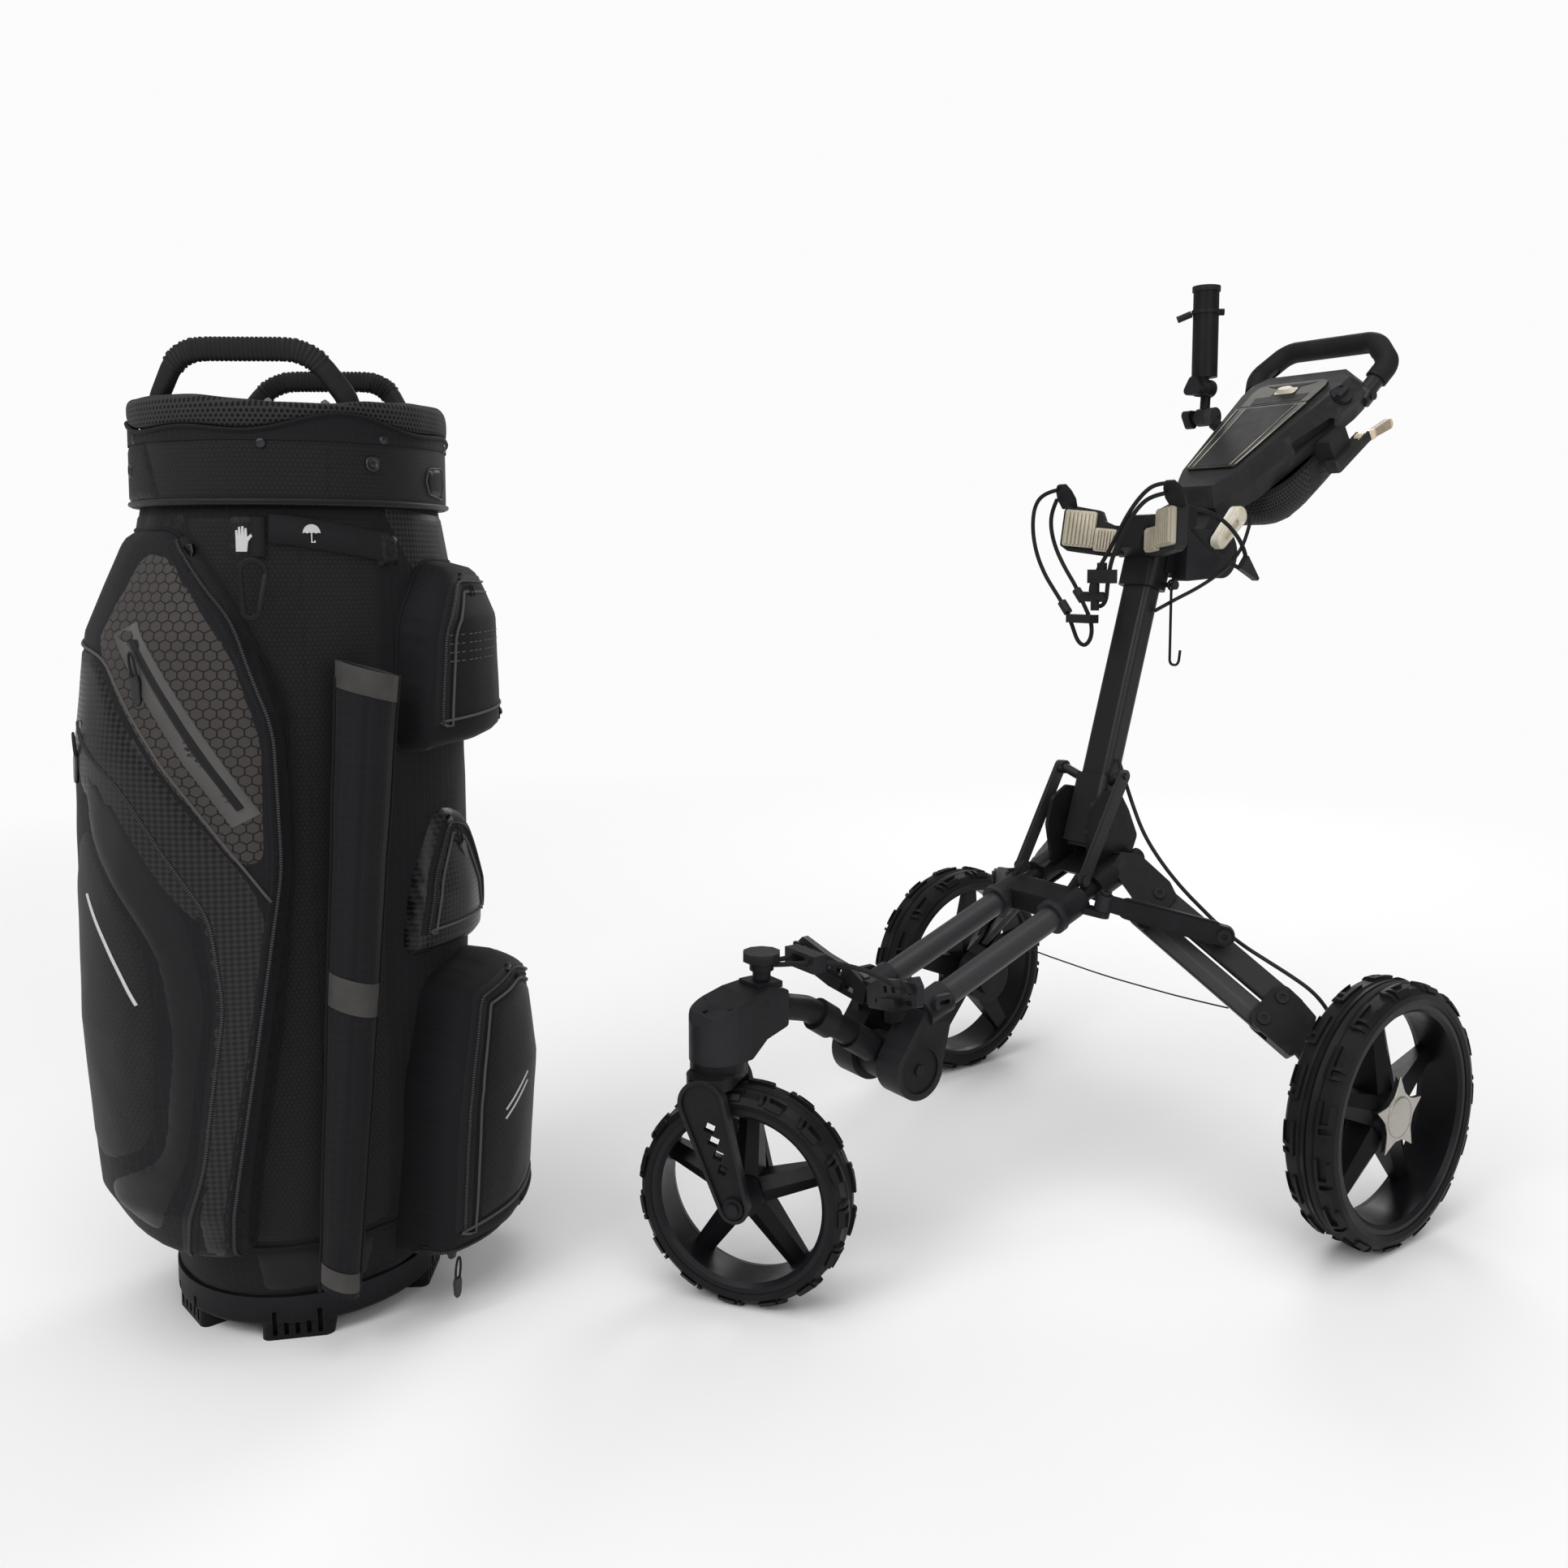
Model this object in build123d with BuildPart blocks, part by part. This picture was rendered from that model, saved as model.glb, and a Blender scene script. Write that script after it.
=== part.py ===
from build123d import *
import math
import os

os.makedirs("parts", exist_ok=True)

# ---------------------------------------------------------------------------
# Driving dimensions, in millimetres and degrees.
# Cart datum: the floor point midway between the rear wheels.
# +X is the cart's left, -Y is its front, +Z is up.
# ---------------------------------------------------------------------------
GAP = 0.5                    # clearance between parts that move past each other
FIT = 0.05                   # radial running clearance of a pin in its hole

REAR_RADIUS = 140.0          # rear tyre
REAR_WIDTH = 57.0
HALF_TRACK = 318.0
FRONT_RADIUS = 106.0         # front tyre
FRONT_WIDTH = 54.0
TREAD = 3.2                  # height of the tyre's raised tread

FRAME_SLOPE = 20.0           # frame tubes fall towards the front
FRAME_REF = Vector(0, -171, 331)   # rear end of the frame tubes
TUBE_X = 43.0
TUBE_RADIUS = 13.5
TUBE_LENGTH = 240.0
GUIDE_RADIUS = 9.0           # the bracket's rods slide inside the frame tubes
GUIDE_REACH = 140.0          # how far a rod stands in its tube when unfolded
GUIDE_END = 118.0            # and how far it stands out behind the tube
SLEEVE_RADIUS = 16.5
SLEEVE_START = 34.0
SLEEVE_LENGTH = 57.0

FOLD_PIVOT = Vector(0, -95, 411)   # the column folds about this, along X
COLUMN_TILT = 17.0           # column leans back
COLUMN_WIDTH = 40.0
COLUMN_DEPTH = 28.0
COLUMN_LENGTH = 352.0
FOOT_DROP = 34.0             # column foot below the fold pivot
STRUT_TOP = Vector(0, -95, 468)
STRUT_FOOT = Vector(0, -160, 355)
STRUT_X = 46.0

LEG_PIVOT = Vector(90, -81, 335)
LEG_FALL = 35.5              # legs fall outwards
LEG_HEADING = 21.9           # and run towards the rear
LEG_LEAN = 35.0              # lean of the leg's hinge axis
LEG_LENGTH = 166.0           # between the two pivots of a bar
BAR_WIDTH = 27.0
BAR_DEPTH = 14.0
BAR_SPACING = 31.0
LINK_INNER = Vector(70, -150.5, 333.5)
LINK_OUTER = Vector(172, -72, 306)
LINK_PIN = Vector(0.20512464, 0.07532105, 0.9758333)   # the link swings about this

DRUM_CENTRE = Vector(0, -408, 191)  # front fold pivot, along X
DRUM_RADIUS = 31.0
ELBOW = Vector(0, -514, 263)
STEER_Y = -622.0             # caster steering axis
STEER_BOTTOM = 235.0
CASTER_HEADING = 36.0        # the front wheel rests turned by this much
TRAIL = 30.0

TILT_PIVOT = Vector(0, 78, 723)     # handle and console tilt about this, along X
TILT_RADIUS = 30.0
CONSOLE_REF = Vector(0, 106, 823)   # lower edge of the console's lid
CONSOLE_TILT = 34.0

CORD = 5.0                   # elastic cord
CABLE = 4.4                  # brake cable

BAG_X = -266.0
BAG_Y = -934.0
BAG_TURN = 76.0              # bag's right-hand direction, from +X
BAG_CORE_X = 156.0           # half width of the bag's body
BAG_CORE_Y = 138.0
CUFF_RADIUS = 143.0
BASE_RADIUS = 125.0
BASE_HEIGHT = 42.0
SHOULDER_Z = 765.0
RIM_Z = 846.0

nodes = {}                   # node name -> solid, in cart coordinates
cord_names = []              # nodes that are cords or ride on one


def keep(name, shape, cord=False):
    """Store one finished sub-part under its node name."""
    nodes[name] = shape
    if cord:
        cord_names.append(name)


def mirrored(shape):
    """The right-hand copy of a left-hand sub-part."""
    return mirror(shape, about=Plane.YZ)


def span(start, end, side=None):
    """A plane at start whose normal points at end; side is its X direction."""
    start, end = Vector(start), Vector(end)
    if side is None:
        return Plane(origin=start, z_dir=end - start)
    return Plane(origin=start, x_dir=side, z_dir=end - start)


def add_rod(start, end, radius, mode=Mode.ADD):
    """A round bar between two points."""
    with BuildSketch(span(start, end)) as section:
        Circle(radius)
    extrude(section.sketch, amount=(Vector(end) - Vector(start)).length, mode=mode)


def add_box(low, high, mode=Mode.ADD):
    """A box between two corners, square to the axes."""
    size = Vector(high) - Vector(low)
    middle = (Vector(high) + Vector(low)) * 0.5
    with Locations(middle):
        Box(size.X, size.Y, size.Z, mode=mode)


def add_plate(plane, outline, thickness, corner=0.0, mode=Mode.ADD):
    """A flat plate with the given outline, its corners rounded."""
    with BuildSketch(plane) as face:
        Polygon(*outline, align=None)
        if corner:
            fillet(face.vertices(), corner)
    extrude(face.sketch, amount=thickness, mode=mode)


def add_link(plane, first, second, r_first, r_second, thickness, mode=Mode.ADD):
    """A plate that is the hull of two circles in a plane."""
    with BuildSketch(plane) as face:
        with Locations(first):
            Circle(r_first)
        with Locations(second):
            Circle(r_second)
        make_hull()
    extrude(face.sketch, amount=thickness, mode=mode)


# --- Frame directions --------------------------------------------------------
slope = math.radians(FRAME_SLOPE)
frame_back = Vector(0, math.cos(slope), math.sin(slope))
frame_up = Vector(0, -math.sin(slope), math.cos(slope))


def on_frame(x, along, lift=0.0):
    """A point on the sloping frame: along towards the rear, lift above the tubes."""
    return FRAME_REF + Vector(x, 0, 0) + frame_back * along + frame_up * lift


# --- Wheels ------------------------------------------------------------------
# A wheel is drawn about its own centre, its axle along X and its outer face at +X.
AXLE_RADIUS = 6.0
BEAD_RATIO = 0.855           # rim edge radius over tyre radius
SPOKES = 5
TREAD_PITCHES = 15
BLOCK_ROOT = 4.0             # how deep the tread blocks are set in the casing


def tyre(radius, width):
    """A tyre with a centre rib and hooked tread blocks on both shoulders."""
    bead = radius * BEAD_RATIO
    body = radius - TREAD
    half = width / 2
    groove = 1.6
    crown = body + 1.2
    side_wall = ((half - 2, bead), (half, bead + 5), (half - 1, body - 7), (half - 6, body - 1.5))
    centre = ((10, body), (8, body - groove), (6, body), (1.5, crown), (0, body - groove))
    right_half = side_wall + centre
    left_half = tuple((-x, r) for x, r in reversed(right_half[:-1]))
    with BuildPart() as casing:
        with BuildSketch(Plane.XZ):
            Polygon(*right_half, *left_half, align=None)
        revolve(axis=Axis.X)
    pitch = 2 * math.pi * radius / TREAD_PITCHES
    hook = pitch * 0.30
    with BuildPart() as unit:
        for side in (-1, 1):
            face = Plane.XY.rotated((90 / TREAD_PITCHES * side, 0, 0)).offset(body - BLOCK_ROOT)
            with BuildSketch(face) as block:
                with Locations((side * 13.2, 0)):
                    Rectangle(3.6, hook * 2)
                for shift in (2 - hook, -hook * 0.35):
                    with Locations((side * (half - 8.2), shift)):
                        Rectangle(half - 15.2, 3.6, rotation=side * 12)
                with Locations((side * (half - 3.4), hook * 0.2)):
                    Rectangle(4.0, hook * 1.3)
            extrude(block.sketch, amount=BLOCK_ROOT + TREAD)
    shoulder = ((half + 0.4, bead + 3), (half + 0.4, body - 6), (half - 5, crown), (half - 10, radius))
    other = tuple((-x, r) for x, r in reversed(shoulder))
    with BuildPart() as limit:
        with BuildSketch(Plane.XZ):
            Polygon(*shoulder, *other, align=None)
        revolve(axis=Axis.X)
    block_unit = unit.part & limit.part
    copies = [block_unit.rotate(Axis.X, 360 / TREAD_PITCHES * index)
              for index in range(TREAD_PITCHES)]
    return casing.part.fuse(*copies)


def rim(radius, width, dish, through):
    """A deep rim with five ridged, tapering spokes; dish moves the hub outwards."""
    bead = radius * BEAD_RATIO
    wall = 4.5
    half = width / 2 - 3
    hub = radius * 0.19
    root = hub * 0.55
    bore_length = half + dish + (1 if through else -6)
    with BuildPart() as wheel:
        inner_edge = bead - wall
        with BuildSketch(Plane.XZ):
            Polygon((-half, bead - 0.1), (-half, bead - 6), (-half + 6, inner_edge - 3),
                    (half - 4, inner_edge - 5), (half, inner_edge - 1), (half, bead - 0.1),
                    align=None)
        revolve(axis=Axis.X)
        with BuildSketch(Plane.YZ.offset(-half + 2)):
            Circle(hub)
        extrude(amount=half - 2 + dish)
        for index in range(SPOKES):
            turn = 360 / SPOKES * index
            inner = Plane.XY.rotated((turn, 0, 0)).offset(root)
            outer = Plane.XY.rotated((turn, 0, 0)).offset(bead - wall - 3.5)
            with BuildSketch(inner):
                Polygon((-half + 3, -hub * 0.62), (dish - 8, -hub * 0.62), (dish - 1, 0),
                        (dish - 8, hub * 0.62), (-half + 3, hub * 0.62), align=None)
            with BuildSketch(outer):
                Polygon((-half + 4, -10), (-half + 14, -10), (-half + 20, 0),
                        (-half + 14, 10), (-half + 4, 10), align=None)
            loft()
        with BuildSketch(Plane.YZ.offset(-half)):
            Circle(AXLE_RADIUS + FIT)
        extrude(amount=bore_length, mode=Mode.SUBTRACT)
    return wheel.part


def hub_cap(radius, seat):
    """A five-pointed cap with hollow sides on the outer end of the hub."""
    tip = radius * 0.30
    waist = radius * 0.18
    with BuildPart() as cap:
        with BuildSketch(Plane.YZ.offset(seat)):
            with BuildLine():
                for index in range(SPOKES):
                    first = math.radians(360 / SPOKES * (index + 0.25))
                    second = first + math.radians(360 / SPOKES)
                    middle = (first + second) / 2
                    start = (tip * math.cos(first), tip * math.sin(first))
                    bend = (waist * math.cos(middle), waist * math.sin(middle))
                    finish = (tip * math.cos(second), tip * math.sin(second))
                    ThreePointArc(start, bend, finish)
            make_face()
        extrude(amount=5.0, taper=18)
    return cap.part


REAR_DISH = 14.0
rear_tyre = tyre(REAR_RADIUS, REAR_WIDTH)
rear_rim = rim(REAR_RADIUS, REAR_WIDTH, REAR_DISH, False) + hub_cap(REAR_RADIUS, REAR_DISH)
rear_centre = Vector(HALF_TRACK, 0, REAR_RADIUS)
for name, shape in (("tyre", rear_tyre), ("rim", rear_rim)):
    left = shape.moved(Location(rear_centre))
    keep("rear_" + name + "_left", left)
    keep("rear_" + name + "_right", mirrored(left))

caster_angle = math.radians(CASTER_HEADING)
trail_dir = Vector(math.cos(caster_angle), math.sin(caster_angle), 0)
axle_dir = Vector(math.sin(caster_angle), -math.cos(caster_angle), 0)
steer_axis = Vector(0, STEER_Y, 0)
front_centre = steer_axis + trail_dir * TRAIL + Vector(0, 0, FRONT_RADIUS)
caster_turn = CASTER_HEADING - 90
front_place = Location(front_centre, (0, 0, caster_turn))
keep("front_tyre", tyre(FRONT_RADIUS, FRONT_WIDTH).moved(front_place))
keep("front_rim", rim(FRONT_RADIUS, FRONT_WIDTH, 12.0, True).moved(front_place))

# --- Frame tubes and hub casting ----------------------------------------------
with BuildPart() as frame_tubes:
    for side in (-1, 1):
        rear = on_frame(side * TUBE_X, 0)
        add_rod(on_frame(side * TUBE_X, -TUBE_LENGTH), rear, TUBE_RADIUS)
        add_rod(on_frame(side * TUBE_X, -GUIDE_REACH - 20), rear, GUIDE_RADIUS + FIT, Mode.SUBTRACT)
keep("frame_tubes", frame_tubes.part)

link_dir = (LINK_OUTER - LINK_INNER).normalized()
link_axis = Vector(link_dir.Y, -link_dir.X, 0).normalized()
LINK_THICK = 10.0
EYE_RADIUS = 9.5
EYE_HALF = 9.0
LUG_THICK = 7.0
PIN_RADIUS = 4.0

with BuildPart() as hub_left:
    for along, length, radius in ((-34, 42, 17.5), (-38, 8, 19.5)):
        start = on_frame(TUBE_X, along)
        add_rod(start, start + frame_back * length, radius)
    add_plate(Plane(origin=on_frame(-0.5, 0), x_dir=frame_back, z_dir=(1, 0, 0)),
              ((-30, -9), (-22, 13), (6, 16), (14, 6), (14, -9), (-6, -15)), TUBE_X - 8, 2.5)
    ear_seat = STRUT_FOOT + Vector(STRUT_X - GAP - 6, 0, 0)
    ear = Plane(origin=ear_seat, x_dir=frame_back, z_dir=(1, 0, 0))
    add_link(ear, (0, 0), (-20, -14), 7.5, 12, 6)
    lug_top = LINK_INNER - LINK_PIN * (EYE_HALF + GAP)
    lug = Plane(origin=lug_top, x_dir=(-1, 0, 0), z_dir=LINK_PIN * -1)
    inboard = -20 if lug.y_dir.Y > 0 else 20
    add_link(lug, (0, 0), (20, inboard), EYE_RADIUS, 8, LUG_THICK)
    pin_end = LINK_INNER + LINK_PIN * (EYE_HALF + GAP)
    add_rod(lug_top - LINK_PIN * 2, pin_end, PIN_RADIUS)
    add_rod(pin_end, pin_end + LINK_PIN * 3.5, 6.5)
    add_rod(pin_end + LINK_PIN * 2.0, pin_end + LINK_PIN * 5, 3, Mode.SUBTRACT)
    inner = on_frame(TUBE_X, -60)
    add_rod(inner, inner + frame_back * 100, TUBE_RADIUS + 0.1, Mode.SUBTRACT)
    with BuildSketch(Plane.YZ) as cut:
        with Locations((-150, 330)):
            Rectangle(200, 200)
    extrude(cut.sketch, amount=-60, mode=Mode.SUBTRACT)
keep("hub_casting", hub_left.part + mirrored(hub_left.part))

# --- Rear legs: two parallel bars, a carrier and a link on each side ----------
fall = math.radians(LEG_FALL)
heading = math.radians(LEG_HEADING)
lean = math.radians(LEG_LEAN)
run_dir = Vector(math.cos(heading), math.sin(heading), 0)
leg_dir = run_dir * math.cos(fall) - Vector(0, 0, 1) * math.sin(fall)
leg_side = Vector(math.sin(heading), -math.cos(heading), 0)
leg_top = leg_side.cross(leg_dir) * -1
if leg_top.Z < 0:
    leg_top = leg_top * -1
leg_axis = leg_side * math.cos(lean) + leg_top * math.sin(lean)
leg_cross = leg_axis.cross(leg_dir)


def on_leg(along, across=0.0, out=0.0):
    """A point in the left leg's own frame, from its upper inner pivot."""
    return LEG_PIVOT + leg_dir * along + leg_cross * across + leg_axis * out


def leg_plane(along, across, out):
    return Plane(origin=on_leg(along, across, out), x_dir=leg_dir, z_dir=leg_axis)


BAR_BACK = -BAR_DEPTH / 2
PLATE_THICK = 4.0


def leg_bar(across, depth):
    """One flat bar of a leg, round-ended, bored for its two pivots."""
    with BuildPart() as bar:
        face = leg_plane(0, across, -depth / 2)
        add_link(face, (0, 0), (LEG_LENGTH, 0), BAR_WIDTH / 2, BAR_WIDTH / 2, depth)
        outer = bar.edges().filter_by(GeomType.LINE)
        fillet(outer, 2.0)
        for along in (0, LEG_LENGTH):
            start = on_leg(along, across, -depth / 2)
            add_rod(start, start + leg_axis * depth, PIN_RADIUS + FIT, Mode.SUBTRACT)
    return bar.part


LINK_SEAT = (81.5, 5.7)      # where the link meets the upper bar, in the leg's frame
STUD_START = BAR_DEPTH / 2 - 1
STUD_END = 20.2
ROD_DEPTH = 8.0              # thinner than the upper bar, whose slot it folds into
NEST_HALF = ROD_DEPTH / 2 + 0.6
NEST_TOP = -3.0
BEYOND = 20.0
with BuildPart() as link_stud:
    add_rod(on_leg(*LINK_SEAT, STUD_START), on_leg(*LINK_SEAT, STUD_END), 5.0)
    add_rod(on_leg(*LINK_SEAT, STUD_START), on_leg(*LINK_SEAT, STUD_START + 5), 8.5)
with BuildPart() as nest:
    add_plate(leg_plane(0, 0, -NEST_HALF),
              ((-BEYOND, -BAR_WIDTH), (LEG_LENGTH + BEYOND, -BAR_WIDTH),
               (LEG_LENGTH + BEYOND, NEST_TOP), (-BEYOND, NEST_TOP)), NEST_HALF * 2)
upper_bar = leg_bar(0, BAR_DEPTH) - nest.part + link_stud.part
lower_bar = leg_bar(-BAR_SPACING, ROD_DEPTH)
keep("leg_bar_left", upper_bar)
keep("leg_bar_right", mirrored(upper_bar))
keep("leg_rod_left", lower_bar)
keep("leg_rod_right", mirrored(lower_bar))

AXLE_PLATE_X = HALF_TRACK - REAR_WIDTH / 2 - 5
with BuildPart() as carrier:
    front_face = -BAR_BACK + GAP
    back_face = BAR_BACK - GAP - PLATE_THICK
    for out in (front_face, back_face):
        add_link(leg_plane(LEG_LENGTH, 0, out), (0, 0), (0, -BAR_SPACING), 13, 13, PLATE_THICK)
    block = leg_plane(LEG_LENGTH, 0, back_face)
    depth = front_face - back_face + PLATE_THICK
    add_plate(block, ((BAR_WIDTH / 2 + 1.5, 12), (38, 8), (52, -22), (44, -44),
                      (BAR_WIDTH / 2 + 1.5, -44)), depth, 3)
    for out in (front_face, back_face):
        add_plate(leg_plane(LEG_LENGTH, 0, out),
                  ((0, 13), (BAR_WIDTH / 2 + 4, 12), (BAR_WIDTH / 2 + 4, -44), (0, -44)),
                  PLATE_THICK)
    for across in (0, -BAR_SPACING):
        start = on_leg(LEG_LENGTH, across, back_face)
        add_rod(start, start + leg_axis * (depth + 2.5), PIN_RADIUS)
        head = on_leg(LEG_LENGTH, across, front_face + PLATE_THICK)
        add_rod(head, head + leg_axis * 2.5, 7)
        add_rod(head + leg_axis * 1.2, head + leg_axis * 4, 3, Mode.SUBTRACT)
    arm_start = on_leg(LEG_LENGTH + 32, -20, 0)
    add_rod(arm_start, (AXLE_PLATE_X - 16, 0, REAR_RADIUS + 6), 13)
    add_rod((AXLE_PLATE_X - 26, 0, REAR_RADIUS), (AXLE_PLATE_X, 0, REAR_RADIUS), 36)
    add_rod((AXLE_PLATE_X - 34, 0, REAR_RADIUS), (AXLE_PLATE_X - 26, 0, REAR_RADIUS), 24)
    add_rod((AXLE_PLATE_X, 0, REAR_RADIUS),
            (HALF_TRACK + REAR_DISH - 8, 0, REAR_RADIUS), AXLE_RADIUS)
keep("wheel_carrier_left", carrier.part)
keep("wheel_carrier_right", mirrored(carrier.part))

with BuildPart() as link_arm:
    length = (LINK_OUTER - LINK_INNER).length
    face = Plane(origin=LINK_INNER - link_axis * (LINK_THICK / 2), x_dir=link_dir, z_dir=link_axis)
    add_link(face, (0, 0), (length, 0), 8.5, 11, LINK_THICK)
    add_link(face.offset(3), (27, 0), (length - 13, 0), 12, 13, LINK_THICK - 6)
    add_rod(LINK_INNER - LINK_PIN * EYE_HALF, LINK_INNER + LINK_PIN * EYE_HALF, EYE_RADIUS)
    boss = LINK_OUTER + link_axis * (LINK_THICK / 2)
    add_rod(boss, boss + link_axis * 3, 8)
    add_rod(boss + link_axis * 1.5, boss + link_axis * 5, 3.2, Mode.SUBTRACT)
    add_rod(LINK_INNER - LINK_PIN * (EYE_HALF + 2), LINK_INNER + LINK_PIN * (EYE_HALF + 2),
            PIN_RADIUS + FIT, Mode.SUBTRACT)
keep("link_arm_left", link_arm.part)
keep("link_arm_right", mirrored(link_arm.part))

# --- Column bracket: sleeves, cheeks and leg plates ----------------------------
CHEEK_X = 27.5
CHEEK_THICK = 5.0
with BuildPart() as bracket_left:
    start = on_frame(TUBE_X, SLEEVE_START)
    add_rod(start, start + frame_back * SLEEVE_LENGTH, SLEEVE_RADIUS)
    ring = on_frame(TUBE_X, SLEEVE_START + SLEEVE_LENGTH - 5)
    add_rod(ring, ring + frame_back * 5, SLEEVE_RADIUS + 1.5)
    add_rod(on_frame(TUBE_X, -GUIDE_REACH), on_frame(TUBE_X, GUIDE_END), GUIDE_RADIUS)
    cheek = Plane.YZ.offset(CHEEK_X)
    add_plate(cheek, ((-137, 405), (-128, 436), (-104, 449), (-80, 444), (-66, 424), (-50, 392),
                      (-64, 362), (-104, 343), (-126, 352)), CHEEK_THICK, 8)
    add_box((-1, -78, 352), (CHEEK_X + 2, -60, 371))
    add_plate(Plane.YZ.offset(-1), ((-128, 352), (-104, 343), (-62, 356), (-60, 372), (-92, 366)),
              CHEEK_X + 2)
    for lift in (-12, 0, 12):
        low = Plane(origin=on_frame(CHEEK_X, 34, lift), x_dir=frame_back, z_dir=(1, 0, 0))
        add_plate(low, ((0, -1.2), (46, -1.2), (46, 1.2), (0, 1.2)), 8)
    add_plate(leg_plane(0, 0, -BAR_BACK + GAP),
              ((17, -12), (17, 10), (0, 18), (-44, 20), (-62, 8), (-58, -14), (-20, -24),
               (0, -44), (14, -46)), PLATE_THICK, 4)
    add_plate(leg_plane(0, 0, -16), ((-46, 20), (-62, 8), (-58, -14), (-30, -14), (-28, 16)),
              16 - BAR_BACK + GAP + 1)
    for across in (0, -BAR_SPACING):
        start = on_leg(0, across, BAR_BACK)
        head = on_leg(0, across, -BAR_BACK + GAP + PLATE_THICK)
        add_rod(start, head, PIN_RADIUS)
        add_rod(head, head + leg_axis * 2.5, 6.5)
        add_rod(head + leg_axis * 1.0, head + leg_axis * 4, 2.8, Mode.SUBTRACT)
    add_rod((-2, FOLD_PIVOT.Y, FOLD_PIVOT.Z), (CHEEK_X + CHEEK_THICK, FOLD_PIVOT.Y, FOLD_PIVOT.Z),
            7.0)
    add_rod((CHEEK_X + CHEEK_THICK, FOLD_PIVOT.Y, FOLD_PIVOT.Z),
            (CHEEK_X + CHEEK_THICK + 2.5, FOLD_PIVOT.Y, FOLD_PIVOT.Z), 9.5)
    with BuildSketch(Plane.YZ) as cut:
        with Locations((-90, 390)):
            Rectangle(220, 220)
    extrude(cut.sketch, amount=-60, mode=Mode.SUBTRACT)
keep("column_bracket", bracket_left.part + mirrored(bracket_left.part))

# --- Column -------------------------------------------------------------------
tilt = math.radians(COLUMN_TILT)
column_dir = Vector(0, math.sin(tilt), math.cos(tilt))
column_back = Vector(0, math.cos(tilt), -math.sin(tilt))


def on_column(up, back=0.0, x=0.0):
    """A point in the column's frame, up from the fold pivot."""
    return FOLD_PIVOT + Vector(x, 0, 0) + column_dir * up + column_back * back


def column_plane(up):
    return Plane(origin=on_column(up), x_dir=(1, 0, 0), z_dir=column_dir)


def column_section(up, width, depth, corner, length, mode=Mode.ADD):
    with BuildSketch(column_plane(up)) as section:
        RectangleRounded(width, depth, corner)
    extrude(section.sketch, amount=length, mode=mode)


FOOT_TOP = 52.0
with BuildPart() as column:
    column_section(-FOOT_DROP, COLUMN_WIDTH, COLUMN_DEPTH, 8, COLUMN_LENGTH + FOOT_DROP)
    column_section(-FOOT_DROP + 4, COLUMN_WIDTH + 8, COLUMN_DEPTH + 7, 9, FOOT_TOP + FOOT_DROP - 4)
    for side in (-1, 1):
        root = Vector(side * (COLUMN_WIDTH / 2), STRUT_TOP.Y + 10, STRUT_TOP.Z - 12)
        seat = Vector(side * (STRUT_X - GAP - 6), STRUT_TOP.Y, STRUT_TOP.Z)
        add_rod(seat, seat + Vector(side * 6, 0, 0), 8)
        add_rod(root, seat + Vector(side * 3, 0, 0), 5.5)
        add_rod(seat, seat + Vector(side * 14, 0, 0), PIN_RADIUS)
    add_rod((-30, FOLD_PIVOT.Y, FOLD_PIVOT.Z), (30, FOLD_PIVOT.Y, FOLD_PIVOT.Z), 7.0 + FIT,
            Mode.SUBTRACT)
keep("column", column.part)

with BuildPart() as strut:
    reach = (STRUT_FOOT - STRUT_TOP)
    face = Plane(origin=STRUT_TOP + Vector(STRUT_X, 0, 0), x_dir=reach, z_dir=(1, 0, 0))
    add_link(face, (0, 0), (reach.length, 0), 7.5, 7.5, 5)
    knob = STRUT_FOOT + Vector(STRUT_X + 5, 0, 0)
    add_rod(knob, knob + Vector(2.5, 0, 0), 6)
    bore = STRUT_TOP + Vector(STRUT_X - 1, 0, 0)
    add_rod(bore, bore + Vector(10, 0, 0), PIN_RADIUS + FIT, Mode.SUBTRACT)
keep("strut_left", strut.part)
keep("strut_right", mirrored(strut.part))

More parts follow.
